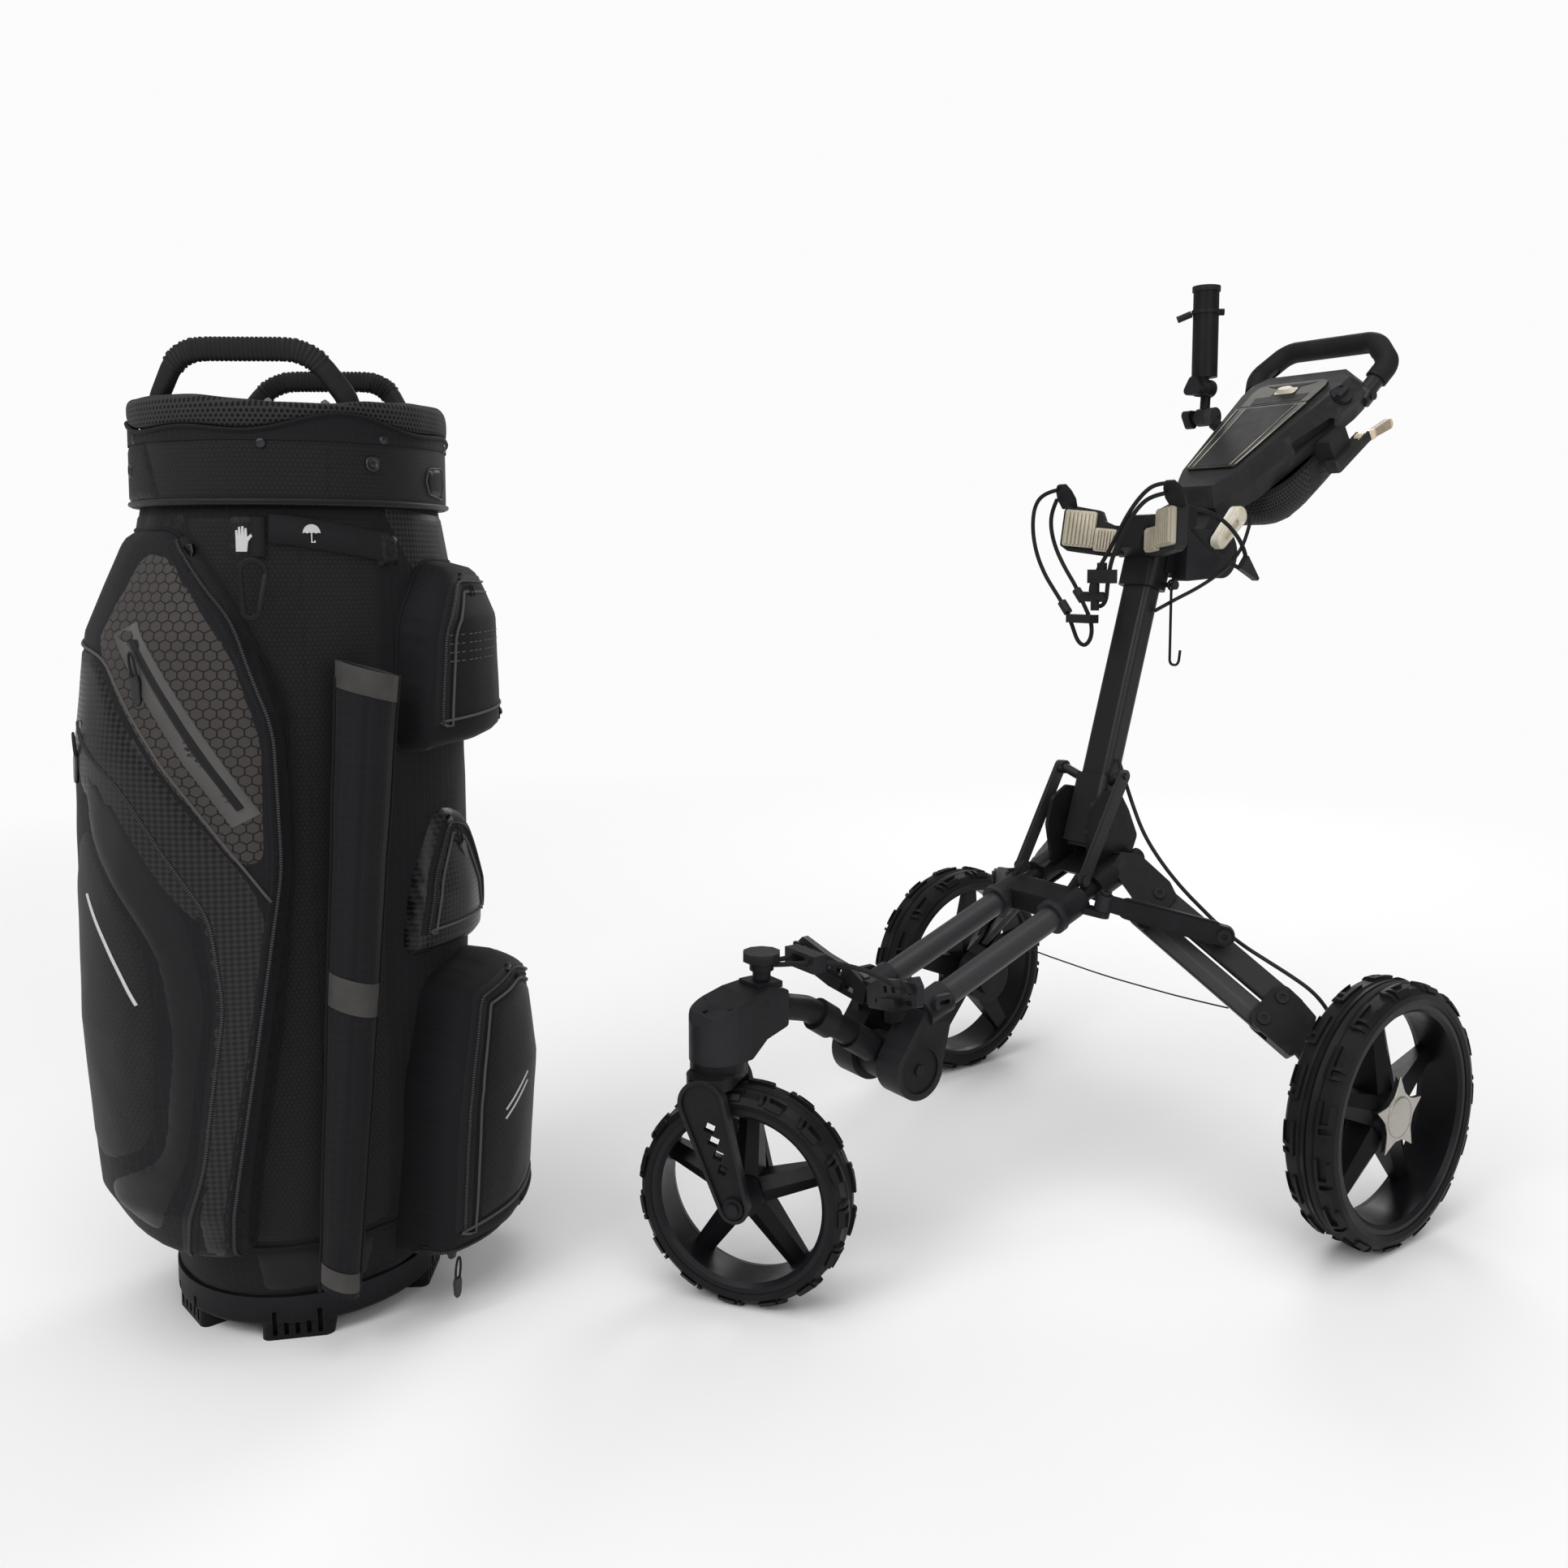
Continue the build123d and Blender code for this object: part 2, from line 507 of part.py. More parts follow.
# --- Front fold drum, lower cradle and front arm --------------------------------
DRUM_HALF = 54.0
with BuildPart() as fold_drum:
    add_rod((-DRUM_HALF, DRUM_CENTRE.Y, DRUM_CENTRE.Z), (-19, DRUM_CENTRE.Y, DRUM_CENTRE.Z),
            DRUM_RADIUS)
    add_rod((19, DRUM_CENTRE.Y, DRUM_CENTRE.Z), (DRUM_HALF, DRUM_CENTRE.Y, DRUM_CENTRE.Z),
            DRUM_RADIUS)
    cover = Plane.YZ.offset(-DRUM_HALF)
    add_plate(cover, ((-431, 212), (-402, 252), (-372, 262), (-366, 236), (-380, 180), (-400, 166)),
              DRUM_HALF * 2, 5)
    add_rod((-20, DRUM_CENTRE.Y, DRUM_CENTRE.Z), (20, DRUM_CENTRE.Y, DRUM_CENTRE.Z),
            DRUM_RADIUS + 2.5, Mode.SUBTRACT)
    add_rod((-20, DRUM_CENTRE.Y, DRUM_CENTRE.Z), (20, DRUM_CENTRE.Y, DRUM_CENTRE.Z), 8)
    add_box((-19, -470, 195), (19, -395, 300), Mode.SUBTRACT)
    add_rod((-19, DRUM_CENTRE.Y, DRUM_CENTRE.Z), (19, DRUM_CENTRE.Y, DRUM_CENTRE.Z), 8)
    for side in (-1, 1):
        collar = on_frame(side * TUBE_X, -TUBE_LENGTH - 2)
        add_rod(collar, collar + frame_back * 34, 17)
        hole = on_frame(side * TUBE_X, -TUBE_LENGTH)
        add_rod(hole, hole + frame_back * 60, TUBE_RADIUS + 0.1, Mode.SUBTRACT)
        add_rod((side * (DRUM_HALF - 2), DRUM_CENTRE.Y, DRUM_CENTRE.Z),
                (side * (DRUM_HALF + 6), DRUM_CENTRE.Y, DRUM_CENTRE.Z), 24, Mode.SUBTRACT)
        add_rod((side * (DRUM_HALF - 3), DRUM_CENTRE.Y, DRUM_CENTRE.Z),
                (side * (DRUM_HALF + 0.5), DRUM_CENTRE.Y, DRUM_CENTRE.Z), 6)
        tab = Plane.YZ.offset(side * 62 - 3)
        with BuildSketch(tab) as loop:
            with Locations((-385, 262)):
                RectangleRounded(26, 15, 6)
                RectangleRounded(14, 5, 2, mode=Mode.SUBTRACT)
        extrude(loop.sketch, amount=6)
keep("fold_drum", fold_drum.part)

CRADLE_Y = -437.0
with BuildPart() as lower_cradle_left:
    face = Plane(origin=(6, CRADLE_Y + 8, 250), x_dir=(0.95, -0.18, 0.24), z_dir=(-0.17, -0.98, 0))
    with BuildSketch(face) as plate:
        Polygon((0, 0), (0, 22), (26, 30), (60, 30), (98, 34), (104, 24), (98, 4), (50, -2),
                align=None)
        fillet(plate.vertices(), 3)
        for along in (40, 56, 74, 88):
            with Locations((along, 20)):
                RectangleRounded(7, 7, 1, mode=Mode.SUBTRACT)
        for along in (22, 84):
            with Locations((along, 8)):
                RectangleRounded(12, 5, 1, mode=Mode.SUBTRACT)
    extrude(plate.sketch, amount=8, both=False)
    add_plate(face.offset(7), ((30, 3), (66, 4), (66, 12), (30, 12)), 7, 1.5)
    add_plate(face.offset(-6), ((8, 2), (20, 2), (20, 28), (8, 26)), 8, 1.5)
    add_box((-1, CRADLE_Y + 2, 252), (20, CRADLE_Y + 16, 276))
    add_box((21, CRADLE_Y + 8, 238), (31, CRADLE_Y + 40, 258))
    with BuildSketch(Plane.YZ) as cut:
        with Locations((CRADLE_Y, 260)):
            Rectangle(120, 120)
    extrude(cut.sketch, amount=-40, mode=Mode.SUBTRACT)
cradle_whole = lower_cradle_left.part + mirrored(lower_cradle_left.part)
cradle_cut = cradle_whole - fold_drum.part - frame_tubes.part
keep("lower_cradle", cradle_cut.solids().sort_by(SortBy.VOLUME)[-1])

ARM_RADIUS = 13.0
HEAD_REAR = Vector(0, -556, 274)
with BuildPart() as front_arm:
    start = DRUM_CENTRE + Vector(0, -8, 6)
    with BuildLine() as route:
        FilletPolyline(start, ELBOW, HEAD_REAR, radius=34)
    with BuildSketch(span(start, ELBOW)) as bore:
        Circle(ARM_RADIUS)
    sweep(bore.sketch, path=route.line)
    add_rod((-18, DRUM_CENTRE.Y, DRUM_CENTRE.Z), (18, DRUM_CENTRE.Y, DRUM_CENTRE.Z), 24)
    rise = (ELBOW - DRUM_CENTRE).normalized()
    add_rod(ELBOW - rise * 36, ELBOW - rise * 14, ARM_RADIUS + 4)
    add_rod(DRUM_CENTRE + rise * 26, DRUM_CENTRE + rise * 62, ARM_RADIUS + 2.5)
    add_rod((-30, DRUM_CENTRE.Y, DRUM_CENTRE.Z), (30, DRUM_CENTRE.Y, DRUM_CENTRE.Z), 8 + FIT,
            Mode.SUBTRACT)
keep("front_arm", front_arm.part)

HEAD_RADIUS = 28.0
HEAD_TOP = 284.0
with BuildPart() as steering_head:
    with BuildSketch(Plane.XY.offset(STEER_BOTTOM)) as plan:
        with Locations((0, STEER_Y)):
            Circle(HEAD_RADIUS)
        with Locations((0, STEER_Y + 70)):
            Rectangle(34, 6)
        make_hull()
    extrude(plan.sketch, amount=80)
    side_view = Plane.YZ.offset(-60)
    with BuildSketch(side_view) as trim:
        Polygon((-652, 234), (-652, 270), (-641, 281), (-600, 296), (-572, 301), (-549, 293),
                (-549, 257), (-578, 250), (-596, 236), (-600, 234), align=None)
        fillet(trim.vertices().group_by(Axis.X)[-1], 4)
    extrude(trim.sketch, amount=120, mode=Mode.INTERSECT)
    add_box((-16, -586, 297), (16, -556, 303))
    tube_run = (HEAD_REAR - ELBOW).normalized()
    add_rod(HEAD_REAR - tube_run * 14, HEAD_REAR + tube_run * 4, ARM_RADIUS + 0.1, Mode.SUBTRACT)
    for side in (-1, 1):
        rib = Plane(origin=(side * 17, -600, 286), x_dir=(0, 1, 0.12), z_dir=(side * 1, 0, 0.2))
        with BuildSketch(rib) as facet:
            Rectangle(46, 9)
        extrude(facet.sketch, amount=6)
    add_rod((0, STEER_Y - 14, 262), (0, STEER_Y - 14, 300), 2.6, Mode.SUBTRACT)
    add_rod((0, STEER_Y, STEER_BOTTOM - 1), (0, STEER_Y, STEER_BOTTOM + 26), 8 + FIT,
            Mode.SUBTRACT)
    add_rod((0, -570, 302), (0, -570, 312), 6)
keep("steering_head", steering_head.part - front_arm.part)

FORK_TOP = STEER_BOTTOM - GAP
ARM_INNER = FRONT_WIDTH / 2 + 3.5
ARM_THICK = 10.0
with BuildPart() as front_fork:
    with BuildSketch(Plane.XY.offset(FORK_TOP)) as crown:
        with Locations((0, STEER_Y)):
            Circle(HEAD_RADIUS - 1)
    extrude(crown.sketch, amount=-10)
    crown_plane = Plane(origin=(0, STEER_Y, FORK_TOP - 8), x_dir=axle_dir, z_dir=(0, 0, -1))
    with BuildSketch(crown_plane) as yoke:
        RectangleRounded((ARM_INNER + ARM_THICK) * 2, 46, 20)
    extrude(yoke.sketch, amount=12)
    neck = Plane(origin=(0, STEER_Y, FORK_TOP - 14), x_dir=axle_dir, z_dir=(0, 0, -1))
    for side in (-1, 1):
        inner = front_centre + axle_dir * (side * ARM_INNER)
        face = Plane(origin=inner, x_dir=trail_dir, z_dir=axle_dir * side)
        flip = 1 if face.y_dir.Z > 0 else -1
        top = (-TRAIL - 2, 96 * flip)
        add_link(face, (0, 0), top, 15, 24, ARM_THICK)
        add_link(face.offset(ARM_THICK - 3), (0, 0), top, 11.5, 20, 5, Mode.SUBTRACT)
        for share, wide in ((0.36, 8), (0.50, 9), (0.64, 10), (0.77, 10)):
            with BuildSketch(face) as window:
                with Locations((top[0] * share, top[1] * share)):
                    Rectangle(wide, 9, rotation=-18 * flip)
            extrude(window.sketch, amount=ARM_THICK + 5, mode=Mode.SUBTRACT)
        boss = inner + axle_dir * (side * 0.01)
        add_rod(boss - axle_dir * (side * 2.5), boss + axle_dir * (side * (ARM_THICK + 1)), 10)
    add_rod((0, STEER_Y, FORK_TOP - 4), (0, STEER_Y, STEER_BOTTOM + 24), 8)
    add_rod(front_centre - axle_dir * (ARM_INNER + ARM_THICK + 4),
            front_centre + axle_dir * (ARM_INNER + ARM_THICK + 4), AXLE_RADIUS)
keep("front_fork", front_fork.part)

# --- Upper cradle on the column top ---------------------------------------------
CRADLE_UP = 283.0
with BuildPart() as upper_cradle:
    column_section(CRADLE_UP, COLUMN_WIDTH + 10, COLUMN_DEPTH + 9, 9, 72)
    column_section(CRADLE_UP - 1, COLUMN_WIDTH, COLUMN_DEPTH, 8, 80, Mode.SUBTRACT)
    cap = column_plane(COLUMN_LENGTH + 0.5)
    with BuildSketch(cap) as lid:
        RectangleRounded(COLUMN_WIDTH + 10, COLUMN_DEPTH + 9, 9)
    extrude(lid.sketch, amount=6)
    block = Plane(origin=on_column(330, -17.5), x_dir=(1, 0, 0), z_dir=column_back * -1)
    with BuildSketch(block) as base:
        Polygon((-29, -14), (29, -14), (33, 10), (26, 40), (-26, 40), (-33, 10), align=None)
    with BuildSketch(block.offset(20)) as tip:
        Polygon((-12, -8), (12, -8), (16, 8), (12, 32), (-12, 32), (-16, 8), align=None)
    loft([base.sketch.face(), tip.sketch.face()])
    for side in (-1, 1):
        face = Plane(origin=on_column(331, -17, side * 20), x_dir=Vector(side * 0.9, -0.42, 0.1),
                     z_dir=Vector(side * -0.42, -0.9, 0.06))
        flip = 1 if face.y_dir.Z > 0 else -1
        outline = [(0, -12), (0, 22), (16, 22), (28, 26), (34, 38), (76, 42), (80, 34), (80, -8),
                   (70, -14), (20, -16)]
        add_plate(face, [(x, y * flip) for x, y in outline], 12, 3)
        for along in (48, 66):
            with BuildSketch(face) as slot:
                with Locations((along, 26 * flip)):
                    RectangleRounded(9, 10, 2)
                with Locations((along, 4 * flip)):
                    RectangleRounded(9, 14, 2)
            extrude(slot.sketch, amount=5, mode=Mode.SUBTRACT)
    for side in (-1, 1):
        near = Vector(side * 26, TILT_PIVOT.Y, TILT_PIVOT.Z)
        far = Vector(side * 46, TILT_PIVOT.Y, TILT_PIVOT.Z)
        add_rod(near, far, TILT_RADIUS)
        web = Plane.YZ.offset(side * 26 if side > 0 else -46)
        add_plate(web, ((10, 690), (78, 694), (78, 752), (14, 752)), 20, 4)
        neck_low = Plane.YZ.offset(side * 18 if side > 0 else -28)
        add_plate(neck_low, ((-4, 700), (36, 700), (36, 744), (6, 744)), 10, 3)
    add_rod((-30, TILT_PIVOT.Y, TILT_PIVOT.Z), (30, TILT_PIVOT.Y, TILT_PIVOT.Z), 9)
    ball = on_column(290, 9, 33)
    add_rod(on_column(290, 9, 22), ball + Vector(7, 0, 0), 3)
    add_rod(ball + Vector(5, 0, 0), ball + Vector(9, 0, 0), 5.5)
keep("upper_cradle", upper_cradle.part - column.part)

with BuildPart() as cradle_pads:
    for side in (-1, 1):
        face = Plane(origin=on_column(331, -17, side * 20), x_dir=Vector(side * 0.9, -0.42, 0.1),
                     z_dir=Vector(side * -0.42, -0.9, 0.06)).offset(12)
        flip = 1 if face.y_dir.Z > 0 else -1
        for along, up, wide, tall, ribs in ((57, 14, 38, 44, 7), (24, 3, 26, 28, 6)):
            with BuildSketch(face) as pad:
                with Locations((along, up * flip)):
                    RectangleRounded(wide, tall, 3)
            extrude(pad.sketch, amount=6)
            pitch = (wide - 4) / ribs
            with BuildSketch(face.offset(5.8)) as rib:
                for index in range(ribs):
                    with Locations((along - wide / 2 + 2 + pitch * (index + 0.5), up * flip)):
                        Rectangle(pitch * 0.55, tall - 5)
            extrude(rib.sketch, amount=2.6)
keep("cradle_pads", cradle_pads.part - upper_cradle.part)

# --- Console, handle and controls -----------------------------------------------
console_angle = math.radians(CONSOLE_TILT)
console_run = Vector(0, math.cos(console_angle), math.sin(console_angle))
console_up = Vector(0, -math.sin(console_angle), math.cos(console_angle))


def on_console(x, run, up):
    """A point on the console: run towards the handle, up from the lid's face."""
    return CONSOLE_REF + Vector(x, 0, 0) + console_run * run + console_up * up


def console_plane(up):
    return Plane(origin=on_console(0, 0, up), x_dir=(1, 0, 0), z_dir=console_up)


def both_sides(points):
    """A closed outline from its +X half, listed from the front to the rear."""
    return list(points) + [(-x, run) for x, run in reversed(points)]


CONSOLE_FLOOR = -50.0
LID_SEAT = -1.0
KNUCKLE_RISE = 38.0
joint_low = Vector(-90, 218, 905)    # the umbrella holder's lower joint, along X
joint_high = joint_low + Vector(0, -2, KNUCKLE_RISE)     # and its upper one, along Y
side_outline = both_sides(((30, -45), (44, -8), (52, 14), (90, 200), (90, 230), (66, 254)))
deck_outline = both_sides(((27, -30), (38, -4), (44, 12), (72, 200), (72, 226), (56, 246)))
floor_outline = both_sides(((26, -36), (36, -4), (46, 18), (76, 200), (76, 226), (58, 246)))
tray = ((-32, 30), (32, 30), (46, 176), (-46, 176))
with BuildPart() as console_housing:
    with BuildSketch(console_plane(-24)) as waist:
        Polygon(*side_outline, align=None)
    with BuildSketch(console_plane(LID_SEAT)) as deck:
        Polygon(*deck_outline, align=None)
    loft([waist.sketch.face(), deck.sketch.face()])
    with BuildSketch(console_plane(CONSOLE_FLOOR)) as floor:
        Polygon(*floor_outline, align=None)
    loft([floor.sketch.face(), waist.sketch.face()])
    add_plate(console_plane(-38), tray, 60, 6, Mode.SUBTRACT)
    recess = Plane(origin=on_console(85, 118, -30), x_dir=console_run, z_dir=(1, 0, -0.35))
    with BuildSketch(recess) as slot:
        RectangleRounded(74, 15, 5)
    extrude(slot.sketch, amount=-22, mode=Mode.SUBTRACT)
    extrude(slot.sketch, amount=20, mode=Mode.SUBTRACT)
    knob_seat = Plane(origin=on_console(74.5, 190, -11), x_dir=console_run,
                      z_dir=Vector(0.62, 0, 0) + console_up * 0.78)
    with BuildSketch(knob_seat.offset(-10)) as well:
        Circle(14)
    extrude(well.sketch, amount=40, mode=Mode.SUBTRACT)
    add_rod(TILT_PIVOT - Vector(24, 0, 0), TILT_PIVOT + Vector(24, 0, 0), 24)
    lug = Plane.YZ.offset(-24)
    add_plate(lug, ((58, 736), (92, 776), (130, 790), (128, 764), (98, 716), (84, 702)), 48, 3)
    add_rod(TILT_PIVOT - Vector(30, 0, 0), TILT_PIVOT + Vector(30, 0, 0), 9 + FIT, Mode.SUBTRACT)
    brake_floor = console_plane(-76)
    add_plate(brake_floor, ((78, 112), (96, 112), (96, 168), (78, 168)), 16, 3)
    add_plate(brake_floor.offset(10), ((56, 120), (90, 120), (90, 160), (56, 160)), 30, 2)
    for x in (78, 93):
        add_plate(brake_floor, ((x, 166), (x + 3, 166), (x + 3, 192), (x, 192)), 12)
    add_plate(console_plane(-5), both_sides(((16.5, 184.5), (16.5, 203.5))), 8, 5, Mode.SUBTRACT)
    add_rod(on_console(78, 184, -70), on_console(96, 184, -70), 3)
    arm = on_console(-64, 138, -22)
    add_rod(arm, joint_low - Vector(-14, 0, 8), 8)
    add_rod(joint_low + Vector(6, 0, 0), joint_low + Vector(18, 0, 0), 12)
    add_rod(joint_low + Vector(18, 0, 0), joint_low - Vector(16, 0, 0), PIN_RADIUS)
keep("console_housing", console_housing.part)

lid_outline = both_sides(((35, 8), (53, 200), (50, 212), (40, 218)))
with BuildPart() as console_lid:
    add_plate(console_plane(LID_SEAT + 0.3), lid_outline, 3.2, 4)
    groove = console_plane(LID_SEAT + 2.6)
    add_plate(groove, ((-60, 160), (60, 160), (60, 162), (-60, 162)), 5, 0, Mode.SUBTRACT)
    lid_cut = console_plane(-20)
    add_plate(lid_cut, both_sides(((15.5, 186), (15.5, 202))), 40, 5, Mode.SUBTRACT)
keep("console_lid", console_lid.part)

with BuildPart() as lid_latch:
    add_plate(console_plane(LID_SEAT + 0.4), both_sides(((15, 186.5), (15, 201.5))), 4, 4.8)
    dome = console_plane(LID_SEAT + 4)
    with BuildSketch(dome) as low:
        with Locations((0, 194)):
            Ellipse(14.5, 7.0)
    with BuildSketch(dome.offset(5)) as high:
        with Locations((0, 194)):
            Ellipse(9.5, 4.5)
    loft([low.sketch.face(), high.sketch.face()])
keep("lid_latch", lid_latch.part)

HANDLE_RADIUS = 11.0
GRIP_RADIUS = 14.0
handle_origin = on_console(0, 222, -33)
handle_run = (console_run * 90 + console_up * 34).normalized()
handle_plane = Plane(origin=handle_origin, x_dir=(1, 0, 0),
                     z_dir=Vector(1, 0, 0).cross(handle_run))


def on_handle(x, run):
    return handle_origin + Vector(x, 0, 0) + handle_run * run


HANDLE_ROOT = (78.0, -2.0)
HANDLE_BENDS = ((96.0, 55.6), (64.0, 96.0))
GRIP_START = (88.0, 30.0)    # on the straight run from the root to the first bend


def handle_sweep(first, radius, mode=Mode.ADD):
    """A bar along the handle's loop, from a point on its left run to its mirror."""
    half_route = (first,) + HANDLE_BENDS
    points = [on_handle(-x, run) for x, run in half_route]
    points += [on_handle(x, run) for x, run in reversed(half_route)]
    with BuildLine() as loop_path:
        FilletPolyline(*points, radius=(22, 30, 30, 22))
    with BuildSketch(span(points[0], points[1])) as section:
        Circle(radius)
    sweep(section.sketch, path=loop_path.line, mode=mode)


with BuildPart() as push_handle:
    handle_sweep(HANDLE_ROOT, HANDLE_RADIUS)
    for side in (-1, 1):
        root = on_handle(side * HANDLE_ROOT[0], HANDLE_ROOT[1])
        joint = on_handle(side * GRIP_START[0], GRIP_START[1])
        add_rod(root, root + (joint - root).normalized() * 12, HANDLE_RADIUS + 3)
        screw = root + (joint - root).normalized() * 6
        add_rod(screw, screw + Vector(side * 16, 0, 0), 6)
handle_cut = push_handle.part - console_housing.part
keep("push_handle", handle_cut.solids().sort_by(SortBy.VOLUME)[-1])

with BuildPart() as handle_grip:
    handle_sweep(GRIP_START, GRIP_RADIUS)
    handle_sweep(GRIP_START, HANDLE_RADIUS + 0.05, Mode.SUBTRACT)
    for x in (-72, -52, -32, 32, 52, 72):
        depth = 74 if abs(x) < 60 else 62
        with Locations(on_handle(x, depth) - console_up * 4):
            Sphere(10, mode=Mode.SUBTRACT)
keep("handle_grip", handle_grip.part)

with BuildPart() as cam_lever:
    hinge = Vector(47.5, 62, 737)
    face = Plane(origin=hinge, x_dir=(0, 0.74, 0.67), z_dir=(1, 0, 0))
    add_link(face, (0, 0), (46, 0), 9, 12, 12)
    fillet(cam_lever.faces().sort_by(Axis.X)[-1].edges(), 3)
    add_link(face.offset(9), (8, 0), (34, 0), 3, 4, 5, Mode.SUBTRACT)
keep("cam_lever", cam_lever.part)

with BuildPart() as brake_lever:
    add_link(Plane(origin=on_console(81.5, 184, -70), x_dir=console_run, z_dir=(1, 0, 0)),
             (0, 0), (22, -6), 7, 6, 11)
    add_link(Plane(origin=on_console(83, 184, -70), x_dir=console_run, z_dir=(1, 0, 0)),
             (20, -6), (62, -15), 5, 6.5, 8)
    add_rod(on_console(78, 184, -70), on_console(96, 184, -70), 3 + FIT, Mode.SUBTRACT)
keep("brake_lever", brake_lever.part)

with BuildPart() as turn_knob:
    with BuildSketch(knob_seat.offset(-9.5)) as stub:
        Circle(13)
    extrude(stub.sketch, amount=14)
    with BuildSketch(knob_seat.offset(4)) as wing:
        Rectangle(24, 6)
    extrude(wing.sketch, amount=7)
keep("turn_knob", turn_knob.part)

with BuildPart() as console_pouch:
    rings = []
    for up, half_width, front, rear in ((CONSOLE_FLOOR - 0.3, 66, 26, 222),
                                        (-78, 64, 20, 218), (-104, 50, 40, 206),
                                        (-118, 30, 70, 180)):
        with BuildSketch(console_plane(up)) as ring:
            with Locations((0, (front + rear) / 2)):
                RectangleRounded(half_width * 2, rear - front, 24)
        rings.append(ring.sketch.face())
    loft(rings)
keep("console_pouch", console_pouch.part - console_housing.part)

# --- Umbrella holder: two knuckles and a flared tube ------------------------------
TUBE_WALL = 2.6
UMBRELLA_RADIUS = 16.5


def knob_outline(radius):
    """Rounded triangle for a clamping knob."""
    return [(radius * math.cos(math.radians(a)), radius * math.sin(math.radians(a)))
            for a in (90, 210, 330)]


def add_knob(plane, radius, thickness):
    with BuildSketch(plane) as face:
        Polygon(*knob_outline(radius * 1.35), align=None)
        fillet(face.vertices(), radius * 0.42)
    extrude(face.sketch, amount=thickness)


with BuildPart() as umbrella_elbow:
    add_rod(joint_low + Vector(5.5, 0, 0), joint_low - Vector(8, 0, 0), 12)
    add_rod(joint_low + Vector(-1.5, 2, 4), joint_high + Vector(-1.5, 6, -5), 6.5)
    add_rod(joint_high + Vector(0, -1, 0), joint_high + Vector(0, 12, 0), 12)
    add_rod(joint_high + Vector(0, 4, 0), joint_high + Vector(0, -20, 0), PIN_RADIUS)
    add_knob(Plane(origin=joint_high - Vector(0, 15, 0), x_dir=(1, 0, 0), z_dir=(0, -1, 0)),
             15, 11)
    add_rod(joint_low - Vector(7, 0, 0), joint_low - Vector(17, 0, 0), 6.5)
    add_knob(Plane(origin=joint_low - Vector(16.5, 0, 0), x_dir=(0, 1, 0), z_dir=(-1, 0, 0)),
             15, 11)
    add_rod(joint_low + Vector(30, 0, 0), joint_low - Vector(16.2, 0, 0), PIN_RADIUS + FIT,
            Mode.SUBTRACT)
keep("umbrella_elbow", umbrella_elbow.part)

TUBE_FOOT = 957.0
TUBE_TOP = 1076.0
with BuildPart() as umbrella_tube:
    tube_base = Vector(joint_high.X, joint_high.Y, TUBE_FOOT)
    tube_head = Vector(joint_high.X, joint_high.Y, TUBE_TOP)
    add_rod(tube_base, tube_head, UMBRELLA_RADIUS)
    add_rod(tube_head - Vector(0, 0, 7), tube_head, UMBRELLA_RADIUS + 1.6)
    add_rod(tube_base + Vector(0, 0, 6), tube_head + Vector(0, 0, 1),
            UMBRELLA_RADIUS - TUBE_WALL, Mode.SUBTRACT)
    add_rod(joint_high + Vector(0, -1.5, 0), joint_high + Vector(0, -14, 0), 12)
    add_box((joint_high.X - 9, joint_high.Y - 14, joint_high.Z), (joint_high.X + 9,
            joint_high.Y - 1.5, TUBE_FOOT + 2))
    add_rod(joint_high + Vector(0, 5, 0), joint_high + Vector(0, -30, 0), PIN_RADIUS + FIT,
            Mode.SUBTRACT)
    clamp = tube_head - Vector(0, 0, 36)
    add_rod(clamp, clamp + Vector(0, 0, 5), UMBRELLA_RADIUS + 2)
    add_rod(clamp, clamp + Vector(0, 0, 6), UMBRELLA_RADIUS - TUBE_WALL, Mode.SUBTRACT)
    screw = clamp + Vector(-14, -12, 1)
    add_rod(screw, screw + Vector(-14, -11, -7), 4.5)
    add_rod(clamp + Vector(11, 12, 2.5), clamp + Vector(16, 17, 2.5), 4.5)
keep("umbrella_tube", umbrella_tube.part)

# --- Utility hook on the column ---------------------------------------------------
HOOK_WIRE = 1.6
with BuildPart() as cord_hook:
    hang = ball + Vector(2.2, 0, 0)
    with Locations(Location(hang, (0, 90, 0))):
        Torus(5.4, HOOK_WIRE)
    top = hang - Vector(0, 0, 5.4)
    with BuildLine() as wire:
        FilletPolyline(top, hang - Vector(0, 0, 94), hang + Vector(0, 16, -96),
                       hang + Vector(0, 19, -78), radius=7)
    with BuildSketch(Plane(origin=top, z_dir=(0, 0, -1))) as section:
        Circle(HOOK_WIRE)
    sweep(section.sketch, path=wire.line)
keep("cord_hook", cord_hook.part)

# --- Golf bag, drawn about its own upright axis -----------------------------------
# Its own frame: x to its right, y to its rear, z up; the last step sets it down.
WALL = 4.0
bag_place = Location((BAG_X, BAG_Y, 0), (0, 0, BAG_TURN))


def keep_bag(name, shape):
    keep(name, shape.moved(bag_place))


def ellipse_stack(levels):
    """Loft through ellipses given as (z, centre x, centre y, half x, half y)."""
    faces = []
    for z, x, y, half_x, half_y in levels:
        with BuildSketch(Plane.XY.offset(z)) as level:
            with Locations((x, y)):
                Ellipse(half_x, half_y)
        faces.append(level.sketch.face())
    loft(faces)


def body_levels(grow, floor=BASE_HEIGHT + 1):
    """Body outline from the base to the cuff, grown outwards by a distance."""
    rows = ((floor, BASE_RADIUS - 3, BASE_RADIUS - 3), (92, 132, 130),
            (170, BAG_CORE_X, BAG_CORE_Y), (400, BAG_CORE_X + 2, BAG_CORE_Y + 1),
            (640, BAG_CORE_X, BAG_CORE_Y), (SHOULDER_Z - 3, CUFF_RADIUS - 8, CUFF_RADIUS - 8))
    return [(z, 0, 0, half_x + grow, half_y + grow) for z, half_x, half_y in rows]


